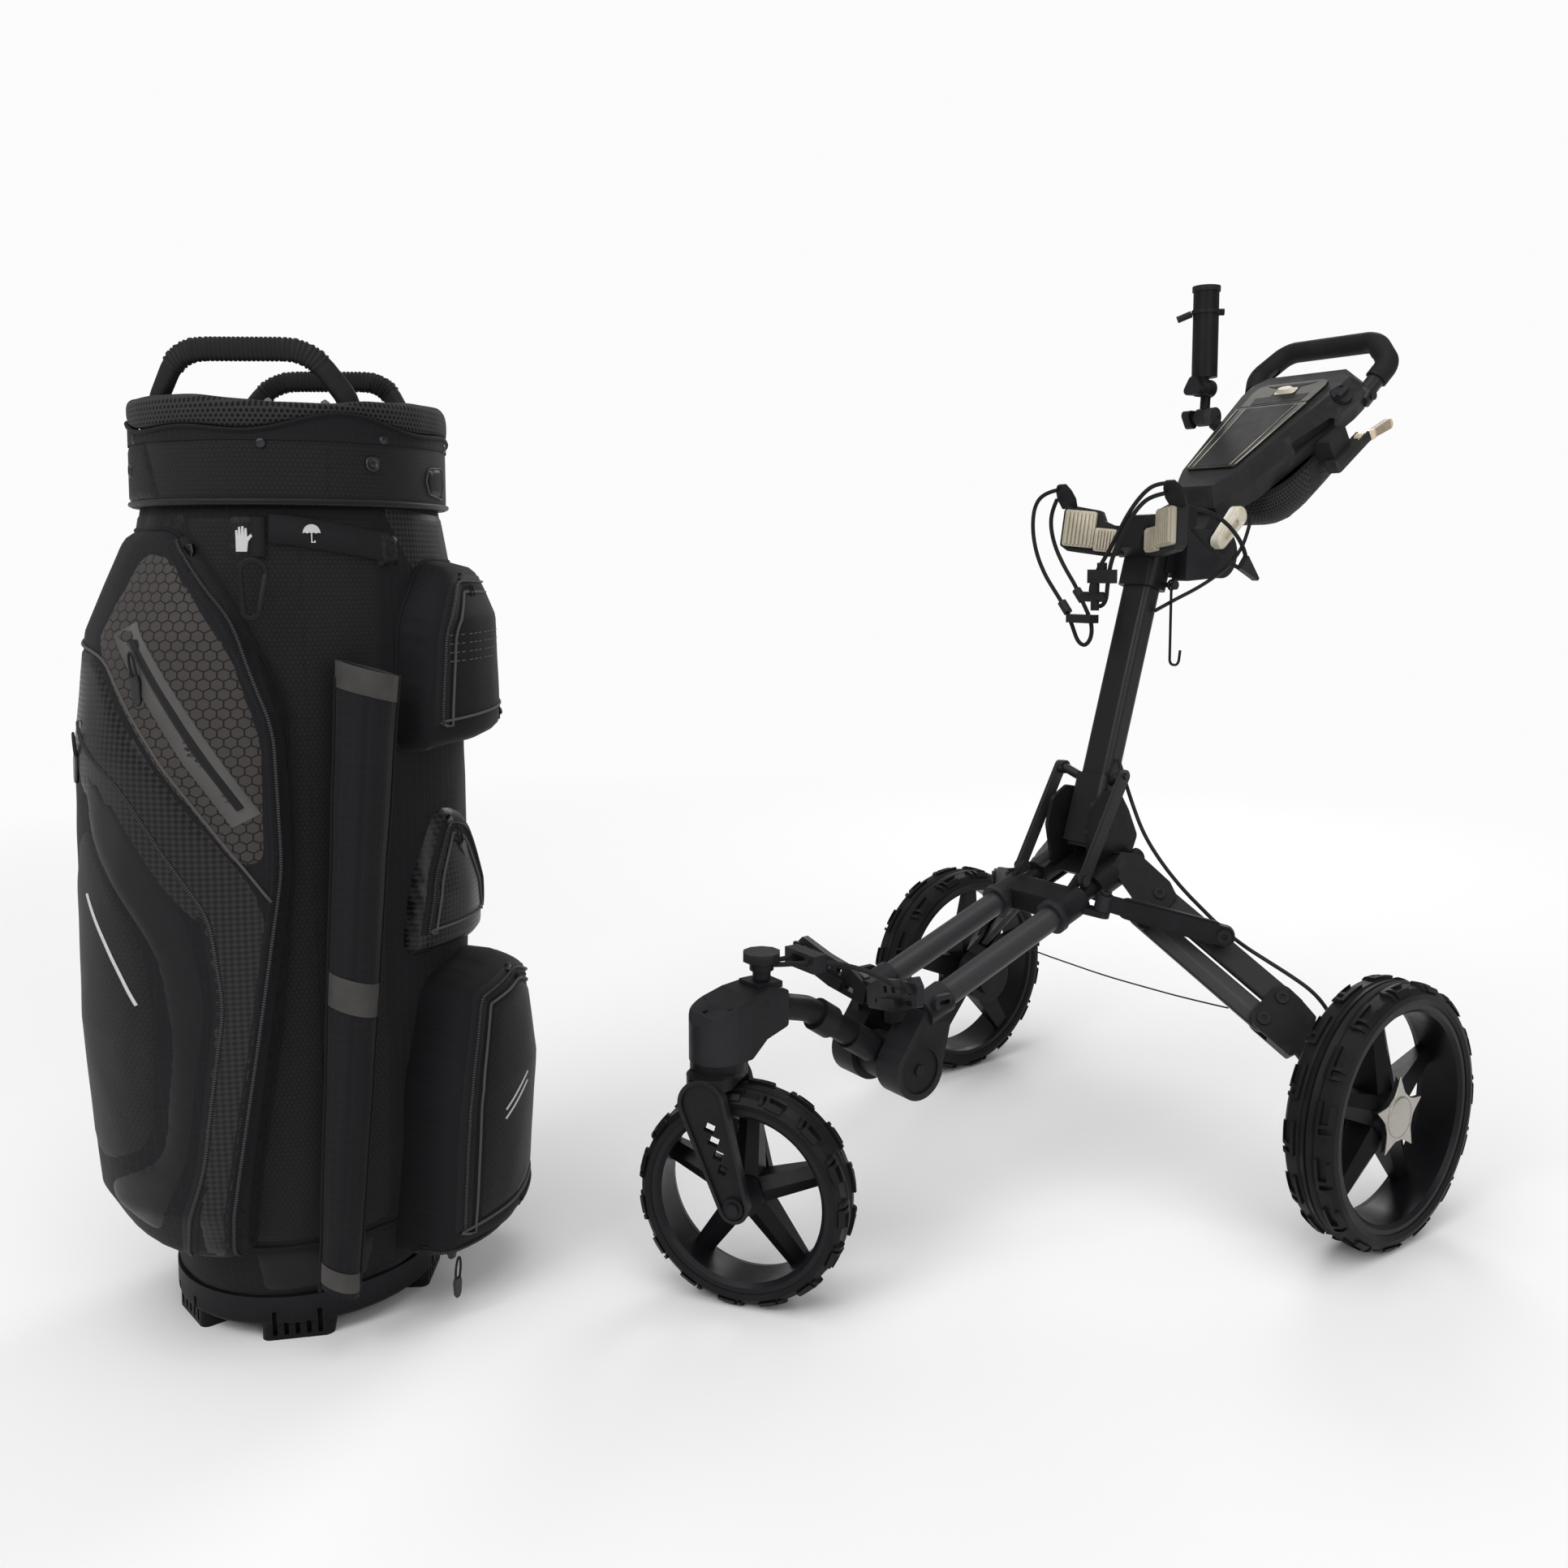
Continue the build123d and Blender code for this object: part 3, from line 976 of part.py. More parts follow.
with BuildPart() as body_core:
    ellipse_stack(body_levels(0))
with BuildPart() as body_hollow:
    ellipse_stack(body_levels(-WALL, BASE_HEIGHT + 1 + WALL))
    with BuildSketch(Plane.XY.offset(SHOULDER_Z - 6)) as mouth:
        Circle(CUFF_RADIUS - 12)
    extrude(mouth.sketch, amount=40)
with BuildPart() as body_clear:
    ellipse_stack(body_levels(0.5))
keep_bag("bag_body", body_core.part - body_hollow.part)

with BuildPart() as bag_base:
    with BuildSketch(Plane.XY.offset(14)) as ring:
        Circle(BASE_RADIUS)
    extrude(ring.sketch, amount=BASE_HEIGHT - 14)
    fillet(bag_base.edges().group_by(Axis.Z)[0], 6)
    with BuildSketch(Plane.XY.offset(BASE_HEIGHT - 10)) as well:
        Circle(BASE_RADIUS - 8)
    extrude(well.sketch, amount=20, mode=Mode.SUBTRACT)
    for turn in (-100, -20, 60, 140, 200):
        foot = Plane.XY.rotated((0, 0, turn))
        with BuildSketch(foot) as pad:
            with Locations((BASE_RADIUS - 24, 0)):
                RectangleRounded(40, 64, 8)
        extrude(pad.sketch, amount=20)
        with BuildSketch(foot.offset(4)) as notch:
            for shift in (-20, -10, 0, 10, 20):
                with Locations((BASE_RADIUS - 6, shift)):
                    Rectangle(10, 4)
        extrude(notch.sketch, amount=24, mode=Mode.SUBTRACT)
keep_bag("bag_base", bag_base.part)

with BuildPart() as bag_cuff:
    with BuildSketch(Plane.XY.offset(SHOULDER_Z - 2.5)) as ring:
        Circle(CUFF_RADIUS)
        Circle(CUFF_RADIUS - 11, mode=Mode.SUBTRACT)
    extrude(ring.sketch, amount=RIM_Z - 22 - SHOULDER_Z)
    with BuildSketch(Plane.XY.offset(SHOULDER_Z - 2.5)) as piping:
        Circle(CUFF_RADIUS + 2.5)
        Circle(CUFF_RADIUS - 1, mode=Mode.SUBTRACT)
    extrude(piping.sketch, amount=6)
keep_bag("bag_cuff", bag_cuff.part)

RIM_THICK = 13.0
with BuildPart() as rim_pad:
    with BuildSketch(Plane.XY.offset(RIM_Z - 24)) as ring:
        Circle(CUFF_RADIUS + 0.5)
        Circle(CUFF_RADIUS + 0.5 - RIM_THICK, mode=Mode.SUBTRACT)
    extrude(ring.sketch, amount=38)
    fillet(rim_pad.edges().group_by(Axis.Z)[-1], 5.5)
keep_bag("rim_pad", rim_pad.part)

# Fourteen club slots: three cross walls, and short walls between them.
DIVIDER_FLOOR = 560.0
DIVIDER_TOP = RIM_Z + 4
DIVIDER_RADIUS = CUFF_RADIUS - RIM_THICK - 1.0
DIVIDER_WALL = 4.0
row_step = DIVIDER_RADIUS / 2
with BuildPart() as bag_dividers:
    for row in (-1, 0, 1):
        offset_y = row * row_step
        half = math.sqrt(DIVIDER_RADIUS ** 2 - offset_y ** 2) - 3
        add_box((-half, offset_y - DIVIDER_WALL / 2, DIVIDER_FLOOR),
                (half, offset_y + DIVIDER_WALL / 2, DIVIDER_TOP))
    for row, columns in ((-1.5, (-24, 24)), (-0.5, (-58, 0, 58)), (0.5, (-58, 0, 58)),
                         (1.5, (-24, 24))):
        low_y = (row - 0.5) * row_step + DIVIDER_WALL / 2
        for x in columns:
            limit = math.sqrt(DIVIDER_RADIUS ** 2 - x ** 2) - 3
            add_box((x - DIVIDER_WALL / 2, max(low_y - 1, -limit), DIVIDER_FLOOR),
                    (x + DIVIDER_WALL / 2, min(low_y + row_step - 3, limit), DIVIDER_TOP))
keep_bag("bag_dividers", bag_dividers.part)

with BuildPart() as bag_handles:
    for turn in (0, 180):
        points = [Vector(-117, -56, RIM_Z + 6), Vector(-96, -84, RIM_Z + 56),
                  Vector(10, -122, RIM_Z + 56), Vector(44, -122, RIM_Z + 6)]
        points = [point.rotate(Axis.Z, turn) for point in points]
        with BuildLine() as arch:
            FilletPolyline(*points, radius=20)
        with BuildSketch(span(points[0], points[1])) as section:
            RectangleRounded(20, 13, 5)
        sweep(section.sketch, path=arch.line)
keep_bag("bag_handles", bag_handles.part - rim_pad.part)


def pocket(levels, outline, rear=40.0, corner=10.0):
    """A pocket: a bulged body trimmed to a front outline, cleared of the bag body."""
    with BuildPart() as bulge:
        ellipse_stack(levels)
    with BuildPart() as window:
        with BuildSketch(Plane.XZ) as shape:
            Polygon(*outline, align=None)
            fillet(shape.vertices(), corner)
        extrude(shape.sketch, amount=260)
        extrude(shape.sketch, amount=-rear)
    whole = bulge.part & window.part
    trimmed = whole - body_clear.part
    return trimmed.solids().sort_by(SortBy.VOLUME)[-1]


left_outline = ((-210, 640), (-150, 742), (-106, 742), (-60, 668), (-20, 590), (-14, 450),
                (-30, 300), (-62, 86), (-120, 84), (-180, 120), (-215, 230))
keep_bag("apparel_pocket", pocket(
    ((80, -22, -10, 130, 132), (140, -34, -14, 152, 142), (300, -38, -16, 160, 146),
     (540, -36, -16, 160, 146), (650, -26, -12, 158, 144), (745, -8, -4, 137, 138)),
    left_outline, 70.0, 12.0))
keep_bag("upper_pocket", pocket(
    ((530, 36, -22, 146, 128), (560, 40, -24, 148, 136), (660, 38, -24, 148, 134),
     (722, 22, -14, 138, 130)),
    ((86, 536), (190, 548), (196, 640), (176, 712), (118, 716), (98, 660)), 10.0, 12.0))
keep_bag("middle_pocket", pocket(
    ((325, 6, -12, 162, 134), (400, 8, -12, 162, 138), (488, 2, -4, 158, 138)),
    ((84, 346), (172, 346), (168, 405), (150, 470), (118, 484), (94, 420)), 5.0, 10.0))
keep_bag("ball_pocket", pocket(
    ((48, 56, -26, 140, 118), (80, 60, -28, 150, 130), (220, 62, -30, 156, 136),
     (300, 56, -26, 154, 132), (345, 36, -16, 146, 128)),
    ((92, 52), (214, 70), (222, 200), (216, 290), (176, 338), (120, 322), (100, 220)), 36.0, 12.0))

SLEEVE_TOP = 628.0
SLEEVE_FOOT = 60.0
with BuildPart() as putter_sleeve:
    with BuildSketch(Plane.XY.offset(SLEEVE_FOOT)) as low:
        with Locations((14, -160)):
            Circle(17)
    with BuildSketch(Plane.XY.offset(SLEEVE_TOP)) as high:
        with Locations((50, -166)):
            Circle(27)
    loft([low.sketch.face(), high.sketch.face()])
    with BuildSketch(Plane.XY.offset(SLEEVE_FOOT + 4)) as low_bore:
        with Locations((14.3, -160)):
            Circle(13.5)
    with BuildSketch(Plane.XY.offset(SLEEVE_TOP + 1)) as high_bore:
        with Locations((50, -166)):
            Circle(23.5)
    loft([low_bore.sketch.face(), high_bore.sketch.face()], mode=Mode.SUBTRACT)
keep_bag("putter_sleeve", putter_sleeve.part - body_clear.part)

CLIP_Y = -155.0
with BuildPart() as carabiner:
    clip_face = Plane(origin=(-44, CLIP_Y, 690), x_dir=(0.99, 0, -0.12), z_dir=(0, -1, 0))
    with BuildSketch(clip_face) as outline:
        with Locations((0, 14)):
            Circle(13)
        with Locations((2, -18)):
            Circle(9)
        make_hull()
        offset(amount=-5, mode=Mode.SUBTRACT)
    extrude(outline.sketch, amount=5)
    fillet(carabiner.edges().filter_by(GeomType.LINE), 1.2)
keep_bag("carabiner", carabiner.part)

# --- Cords and cables ---------------------------------------------------------------
ARC_SHARE = 0.45


def bend_radii(points):
    """Each bend as large as its two runs allow."""
    radii = []
    for before, point, after in zip(points, points[1:], points[2:]):
        first = point - before
        second = after - point
        half_turn = math.radians(first.get_angle(second)) / 2
        radii.append(ARC_SHARE * min(first.length, second.length) / math.tan(half_turn))
    return radii


def cord(name, points, diameter):
    """A cord along straight runs joined by tangent arcs."""
    points = [Vector(point) for point in points]
    radii = bend_radii(points)
    with BuildPart() as line_part:
        with BuildLine() as route:
            FilletPolyline(*points, radius=radii)
        with BuildSketch(span(points[0], points[1])) as section:
            Circle(diameter / 2)
        sweep(section.sketch, path=route.line)
    length = sum(edge.length for edge in route.line.edges())
    expected = math.pi * diameter ** 2 / 4 * length
    ratio = line_part.part.volume / expected
    print(name, "length", round(length), "volume ratio", round(ratio, 3),
          "radii", [round(radius) for radius in radii])
    keep(name, line_part.part, cord=True)
    return line_part.part


right_loop = cord("bungee_right", (
    (-88, -66, 800), (-104, -71, 797), (-119, -72, 782), (-121, -73, 754), (-113, -74, 724),
    (-99, -73, 697), (-81, -72, 675), (-64, -71, 654), (-55, -70, 634), (-46, -71, 617),
    (-33, -72, 612), (-24, -71, 624), (-27, -69, 643), (-41, -67, 662), (-57, -64, 684),
    (-77, -62, 706), (-94, -61, 731), (-102, -61, 756), (-99, -62, 776), (-90, -63, 789)), CORD)
left_loop = cord("bungee_left", (
    (80, -66, 801), (70, -76, 801), (56, -82, 790), (40, -86, 769), (25, -87, 744),
    (9, -85, 722), (-11, -81, 700), (-22, -78, 682), (-20, -76, 666), (-9, -75, 659),
    (1, -76, 667), (5, -79, 684), (12, -84, 707), (25, -88, 731), (38, -87, 755),
    (50, -82, 775), (62, -75, 787), (74, -66, 790)), CORD)
tab_loop = cord("bungee_tab", (
    (69, -8, 773), (69, 14, 773), (72, 36, 765), (75, 56, 752), (77, 73, 735), (78, 82, 716),
    (78, 78, 706), (77, 66, 706), (76, 48, 714), (74, 27, 724), (71, 6, 738), (68, -12, 754)), CORD)
lower_loop = cord("bungee_lower", (
    (88, -459, 292), (66, -467, 302), (40, -486, 311), (19, -508, 314), (10, -535, 315),
    (8, -556, 317), (4, -571, 319), (-4, -571, 319), (-8, -556, 317), (-10, -535, 315),
    (-19, -508, 314), (-40, -486, 311), (-66, -467, 302), (-88, -459, 292)), CORD)
cord("brake_cable_upper", (
    (22.6, -15, 655), (34, 6, 668), (46, 28, 680), (55, 51, 694), (58, 76, 709), (58, 98, 727),
    (57, 112, 748), (56, 120, 768)), CABLE)
cord("brake_cable_lower", (
    (22.6, -74, 482), (34, -77, 462), (49, -80, 434), (70, -85, 403), (91, -80, 374),
    (110, -67, 346), (129, -52, 322), (150, -44, 303), (172, -36, 288), (196, -30, 277),
    (220, -22, 265), (243, -13, 251), (258, -6, 232), (265, -3, 210), (269, -1, 190),
    (270, 0, 177.5)), CABLE)
cord("cross_cable", (
    (172, -62, 223), (114, -62, 219), (57, -61, 217), (0, -62, 216), (-57, -61, 217),
    (-114, -62, 219), (-172, -62, 223)), 1.8)

cords_upper = right_loop + left_loop + tab_loop
with BuildPart() as bungee_fittings:
    for x, y, z, tilt_angle in ((-67, -71, 658, 40), (-49, -65.5, 673, 40)):
        lean_dir = Vector(-math.sin(math.radians(tilt_angle)), 0, math.cos(math.radians(tilt_angle)))
        middle = Vector(x, y, z)
        add_rod(middle - lean_dir * 8, middle + lean_dir * 8, 5.5)
    add_box((-60, -77, 640), (-22, -62, 650))
    add_box((-18, -88, 688), (16, -75, 704))
    add_box((-6, -85, 697), (4, -79, 712))
    add_rod((-28, -83, 672), (2, -83, 672), 6)
    add_rod((-9, -84, 656), (-9, -84, 688), 5)
    with BuildSketch(Plane(origin=(79, 80, 706), x_dir=(0, 0.76, -0.65), z_dir=(1, 0, 0))) as tab:
        Polygon((-10, -10), (-10, 10), (24, 4), (24, 0), align=None)
    extrude(tab.sketch, amount=4, both=True)
keep("bungee_fittings", bungee_fittings.part - cords_upper, cord=True)

with BuildPart() as lower_fittings:
    add_box((-24, -524, 305), (24, -508, 323))
    add_box((-11, -530, 309), (11, -500, 319), Mode.SUBTRACT)
    add_rod((0, -570, 304), (0, -570, 313), 9)
    with BuildSketch(Plane.XY.offset(322)) as knob:
        with Locations((0, -570)):
            RegularPolygon(19, 10)
    extrude(knob.sketch, amount=9)
    with BuildSketch(Plane.XY.offset(313)) as seat:
        with Locations((0, -570)):
            Circle(12)
    extrude(seat.sketch, amount=9.5)
keep("lower_fittings", lower_fittings.part - lower_loop - steering_head.part, cord=True)

# --- Set the whole on its footprint's centre, and write every sub-part --------------
solid_names = [name for name in nodes if name not in cord_names]
boxes = [nodes[name].bounding_box() for name in solid_names]
low_x = min(box.min.X for box in boxes)
high_x = max(box.max.X for box in boxes)
low_y = min(box.min.Y for box in boxes)
high_y = max(box.max.Y for box in boxes)
low_z = min(box.min.Z for box in boxes)
centring = Vector(-(low_x + high_x) / 2, -(low_y + high_y) / 2, -low_z)
print("moved by", tuple(round(value, 3) for value in centring))
for name, shape in nodes.items():
    placed = shape.moved(Location(centring))
    placed.label = name
    export_step(placed, "parts/" + name + ".step")
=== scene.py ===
import math
import bmesh
import bpy
from mathutils import Matrix, Vector, geometry, noise


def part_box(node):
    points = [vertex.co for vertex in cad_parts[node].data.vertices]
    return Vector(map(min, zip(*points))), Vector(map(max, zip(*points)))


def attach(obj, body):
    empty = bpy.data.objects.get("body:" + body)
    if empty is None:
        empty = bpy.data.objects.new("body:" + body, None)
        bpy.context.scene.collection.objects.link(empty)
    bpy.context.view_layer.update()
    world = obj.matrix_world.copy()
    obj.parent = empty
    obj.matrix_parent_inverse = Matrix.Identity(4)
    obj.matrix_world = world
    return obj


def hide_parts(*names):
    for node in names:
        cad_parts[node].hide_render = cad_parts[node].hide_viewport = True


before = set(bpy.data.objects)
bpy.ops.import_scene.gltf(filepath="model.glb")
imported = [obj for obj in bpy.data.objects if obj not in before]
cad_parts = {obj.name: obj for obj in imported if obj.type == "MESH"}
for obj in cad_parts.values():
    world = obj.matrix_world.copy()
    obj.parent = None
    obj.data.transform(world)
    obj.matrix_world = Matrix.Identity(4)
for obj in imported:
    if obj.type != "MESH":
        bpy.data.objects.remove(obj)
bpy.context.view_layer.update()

MM = 0.001


# --- Places -------------------------------------------------------------------
# The cart's own millimetres start on the floor midway between the rear wheels,
# and the bag's start on the floor under its axis, x to its right and y to its rear.
def middle(node):
    low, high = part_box(node)
    return (low + high) / 2


wheel_left, wheel_right = middle("rear_tyre_left"), middle("rear_tyre_right")
CART_DATUM = Vector(((wheel_left.x + wheel_right.x) / 2, wheel_left.y, 0.0))
BAG_DATUM = Vector((middle("bag_base").x, middle("bag_base").y, 0.0))
BAG_TURN = math.radians(76)


def cart(x, y, z):
    return CART_DATUM + Vector((x, y, z)) * MM


def bag(x, y, z):
    turned = Matrix.Rotation(BAG_TURN, 3, "Z") @ Vector((x, y, z))
    return BAG_DATUM + turned * MM


# --- Materials ----------------------------------------------------------------
class Paint:
    """A Principled shader with a chain of bumps and a chain of colour changes."""

    def __init__(self, name, colour, roughness, coords="Object", **fixed):
        self.material = bpy.data.materials.new(name)
        self.material.use_nodes = True
        self.nodes = self.material.node_tree.nodes
        self.links = self.material.node_tree.links
        self.shader = self.nodes["Principled BSDF"]
        self.shader.inputs["Base Color"].default_value = (*colour, 1)
        self.shader.inputs["Roughness"].default_value = roughness
        fixed.setdefault("Specular_IOR_Level", 0.14)
        for socket, value in fixed.items():
            self.shader.inputs[socket.replace("_", " ")].default_value = value
        self.colour = tuple(colour) + (1,)
        self.place = self.node("ShaderNodeTexCoord").outputs[coords]
        self.normal = None

    def node(self, kind, **values):
        made = self.nodes.new(kind)
        for key, value in values.items():
            setattr(made, key, value)
        return made

    def feed(self, socket, value):
        if isinstance(value, bpy.types.NodeSocket):
            self.links.new(value, socket)
        else:
            socket.default_value = value

    def math(self, operation, first, second=0.0):
        made = self.node("ShaderNodeMath", operation=operation)
        self.feed(made.inputs[0], first)
        self.feed(made.inputs[1], second)
        return made.outputs[0]

    def noise(self, scale, detail=4.0, roughness=0.55):
        made = self.node("ShaderNodeTexNoise")
        self.feed(made.inputs["Vector"], self.place)
        made.inputs["Scale"].default_value = scale
        made.inputs["Detail"].default_value = detail
        made.inputs["Roughness"].default_value = roughness
        return made.outputs["Fac"]

    def cells(self, scale, feature="F1"):
        made = self.node("ShaderNodeTexVoronoi", feature=feature)
        self.feed(made.inputs["Vector"], self.place)
        made.inputs["Scale"].default_value = scale
        return made.outputs["Distance"]

    def ramp(self, value, low, high):
        made = self.node("ShaderNodeMapRange")
        self.feed(made.inputs["Value"], value)
        made.inputs["From Min"].default_value = low
        made.inputs["From Max"].default_value = high
        return made.outputs["Result"]

    def wave(self, pitch, across, along):
        """A wave in the surface's own metres, pitch in mm, along a direction."""
        parts = self.node("ShaderNodeSeparateXYZ")
        self.feed(parts.inputs[0], self.place)
        turn = 2 * math.pi / (pitch * MM)
        total = self.math("ADD", self.math("MULTIPLY", parts.outputs[0], across * turn),
                          self.math("MULTIPLY", parts.outputs[1], along * turn))
        return self.math("SINE", total)

    def hexagons(self, pitch):
        """How far out in its hexagon a point is: 0 in the middle, 1 on the edge."""
        parts = self.node("ShaderNodeSeparateXYZ")
        self.feed(parts.inputs[0], self.place)
        half_x, half_y = pitch * MM / 2, pitch * MM / 2 * math.sqrt(3)
        x = self.math("PINGPONG", parts.outputs[0], half_x)
        y = self.math("PINGPONG", parts.outputs[1], half_y)
        reach = []
        for near, far in ((x, y), (self.math("SUBTRACT", half_x, x),
                                   self.math("SUBTRACT", half_y, y))):
            slant = self.math("ADD", self.math("MULTIPLY", near, 0.5),
                              self.math("MULTIPLY", far, math.sqrt(3) / 2))
            reach.append(self.math("MAXIMUM", near, slant))
        return self.math("MULTIPLY", self.math("MINIMUM", *reach), 1 / half_x)

    def tint(self, factor, colour):
        mix = self.node("ShaderNodeMix", data_type="RGBA")
        self.feed(mix.inputs["Factor"], factor)
        self.feed(mix.inputs[6], self.colour)
        mix.inputs[7].default_value = (*colour, 1)
        self.colour = mix.outputs[2]
        return self

    def bump(self, height, depth, strength=1.0):
        made = self.node("ShaderNodeBump")
        made.inputs["Strength"].default_value = strength
        made.inputs["Distance"].default_value = depth * MM
        self.feed(made.inputs["Height"], height)
        if self.normal:
            self.feed(made.inputs["Normal"], self.normal)
        self.normal = made.outputs["Normal"]
        return self

    def rough(self, value, low, high):
        made = self.node("ShaderNodeMapRange")
        self.feed(made.inputs["Value"], value)
        made.inputs["To Min"].default_value = low
        made.inputs["To Max"].default_value = high
        self.feed(self.shader.inputs["Roughness"], made.outputs["Result"])
        return self

    def done(self):
        if isinstance(self.colour, bpy.types.NodeSocket):
            self.feed(self.shader.inputs["Base Color"], self.colour)
        if self.normal:
            self.feed(self.shader.inputs["Normal"], self.normal)
        return self.material


def lighter(colour, factor):
    return tuple(min(1.0, part * factor) for part in colour)


def moulded(name, colour, roughness=0.42, grain=1400.0, depth=0.10):
    """Moulded plastic: fine pebble, soft mottling, and edges rubbed paler."""
    paint = Paint(name, colour, roughness, IOR=1.48)
    edge = paint.node("ShaderNodeNewGeometry").outputs["Pointiness"]
    paint.tint(paint.ramp(paint.noise(38.0), 0.35, 1.2), lighter(colour, 1.9))
    paint.tint(paint.ramp(edge, 0.53, 0.68), lighter(colour, 3.2))
    paint.rough(paint.noise(60.0), roughness - 0.08, roughness + 0.12)
    return paint.bump(paint.cells(grain), depth, 0.45).bump(paint.noise(90.0), 0.12, 0.25).done()


def powder(name, colour, roughness=0.38):
    """Powder-coated metal: fine orange peel under a thin coat, chipped at edges."""
    paint = Paint(name, colour, roughness, Metallic=0.35, Coat_Weight=0.15, Coat_Roughness=0.35)
    edge = paint.node("ShaderNodeNewGeometry").outputs["Pointiness"]
    paint.tint(paint.ramp(paint.noise(1700.0, 2.0), 0.56, 0.75), lighter(colour, 2.6))
    paint.tint(paint.ramp(edge, 0.55, 0.7), lighter(colour, 4.0))
    paint.rough(paint.noise(25.0), roughness - 0.07, roughness + 0.1)
    return paint.bump(paint.noise(900.0, 2.0), 0.08, 0.4).done()


def metal(name, colour, roughness=0.28, grain=500.0):
    paint = Paint(name, colour, roughness, Metallic=1.0)
    paint.tint(paint.ramp(paint.noise(grain, 3.0), 0.45, 0.9), lighter(colour, 0.6))
    paint.rough(paint.noise(140.0), roughness - 0.08, roughness + 0.14)
    return paint.bump(paint.noise(grain * 2), 0.03, 0.4).done()


def rubber(name, colour, roughness=0.62, depth=0.15):
    """Rubber with a dusty bloom, worn smoother in places."""
    paint = Paint(name, colour, roughness, IOR=1.5)
    paint.tint(paint.ramp(paint.noise(22.0, 6.0), 0.5, 1.1), lighter(colour, 2.4))
    paint.rough(paint.noise(30.0), roughness - 0.12, roughness + 0.15)
    return paint.bump(paint.noise(700.0, 3.0), depth, 0.5).done()


def woven(name, colour, pitch=2.6, second=None, grid=0.0, sheen=0.05, roughness=0.72):
    """Cloth woven over and under, with broken-up threads and an optional ripstop grid."""
    paint = Paint(name, colour, roughness, "UV", Sheen_Weight=sheen, Sheen_Roughness=0.4)
    over = paint.math("MULTIPLY", paint.wave(pitch, 1, 0), paint.wave(pitch, 0, 1))
    thread = paint.ramp(over, -1.0, 1.0)
    paint.tint(paint.math("MULTIPLY", thread, 0.55), second or lighter(colour, 2.2))
    paint.tint(paint.ramp(paint.noise(14.0, 5.0), 0.52, 1.1), lighter(colour, 1.8))
    paint.bump(thread, 0.22, 0.6).bump(paint.noise(45.0, 5.0), 0.9, 0.35)
    if grid:
        lines = paint.math("MAXIMUM", paint.wave(grid, 1, 0), paint.wave(grid, 0, 1))
        raised = paint.ramp(lines, 0.90, 0.97)
        paint.tint(paint.math("MULTIPLY", raised, 0.3), lighter(colour, 2.4)).bump(raised, 0.3, 0.6)
    return paint.done()


def honeycomb(name, raised, ground, pitch, depth, roughness=0.6, line=0.12, net=False):
    """Raised hexagons parted by dark lines, or a raised net round holes left in the dark ground
    colour as painted shade.
    """
    paint = Paint(name, ground, roughness, "UV", Sheen_Weight=0.06)
    reach = paint.hexagons(pitch)
    inner, outer = 1 - line - 0.07, 1 - line + 0.03
    # With a net, the ground colour kept in the holes is painted shade for the dark seen through the
    # openings.
    shape = paint.ramp(reach, inner, outer) if net else paint.ramp(reach, outer, inner)
    paint.tint(shape, raised)
    paint.tint(paint.math("MULTIPLY", paint.ramp(paint.noise(9.0, 4.0), 0.5, 1.0), 0.5),
               lighter(raised, 0.6))
    return paint.bump(shape, depth, 0.8).bump(paint.noise(40.0), 0.8, 0.25).done()


def twill(name, dark, light, pitch=7.0):
    """Carbon look: tows crossing in a diagonal check under a satin film."""
    paint = Paint(name, dark, 0.4, "UV", Coat_Weight=0.2, Coat_Roughness=0.3)
    check = paint.math("MULTIPLY", paint.wave(pitch, 0.7, 0.7), paint.wave(pitch, 0.7, -0.7))
    tows = paint.ramp(check, -0.12, 0.12)
    paint.tint(tows, light)
    paint.rough(tows, 0.34, 0.52)
    return paint.bump(tows, 0.12, 0.5).bump(paint.noise(35.0), 0.7, 0.25).done()


def pebbled(name, colour):
    paint = Paint(name, colour, 0.5, "UV", IOR=1.5)
    grain = paint.cells(420.0, "SMOOTH_F1")
    paint.tint(paint.ramp(grain, 0.2, 0.9), lighter(colour, 2.2))
    paint.rough(grain, 0.36, 0.62)
    return paint.bump(grain, 0.5, 0.7).bump(paint.noise(30.0), 0.8, 0.3).done()


BLACK = (0.005, 0.005, 0.006)
CHARCOAL = (0.016, 0.016, 0.017)
tyre_rubber = rubber("tyre rubber", (0.007, 0.007, 0.007), 0.5)
rim_plastic = moulded("rim plastic", BLACK, 0.34)
frame_paint = powder("frame powder coat", (0.017, 0.017, 0.018))
cast_plastic = moulded("cast plastic", (0.008, 0.008, 0.009), 0.42, 1100.0, 0.14)
console_plastic = moulded("console plastic", CHARCOAL, 0.5, 1500.0, 0.12)
cream_rubber = rubber("cream pads", (0.42, 0.38, 0.30), 0.55, 0.08)
cream_plastic = moulded("cream plastic", (0.52, 0.48, 0.38), 0.38, 1800.0, 0.05)
beige_plastic = moulded("beige brown plastic", (0.30, 0.24, 0.17), 0.36, 1800.0, 0.05)
bronze = metal("bronze lid", (0.085, 0.080, 0.066), 0.38, 2600.0)
silver = metal("satin silver", (0.42, 0.40, 0.36), 0.34)
grip_foam = rubber("grip rubber", (0.012, 0.012, 0.012), 0.6, 0.3)
wire_coat = powder("hook wire coat", BLACK)
cord_braid = rubber("elastic cord braid", (0.014, 0.014, 0.015), 0.75, 0.4)
cable_sleeve = rubber("cable sleeve", (0.013, 0.013, 0.014), 0.45, 0.05)
base_plastic = moulded("bag base plastic", BLACK, 0.48, 900.0, 0.2)
clip_metal = powder("clip anodising", BLACK, 0.3)
nylon = woven("black nylon", (0.005, 0.005, 0.006))
ripstop = woven("ripstop", (0.006, 0.006, 0.007), 2.2, grid=9.0)
satin_cloth = woven("satin cloth", (0.007, 0.007, 0.008), 1.6, sheen=0.15, roughness=0.48)
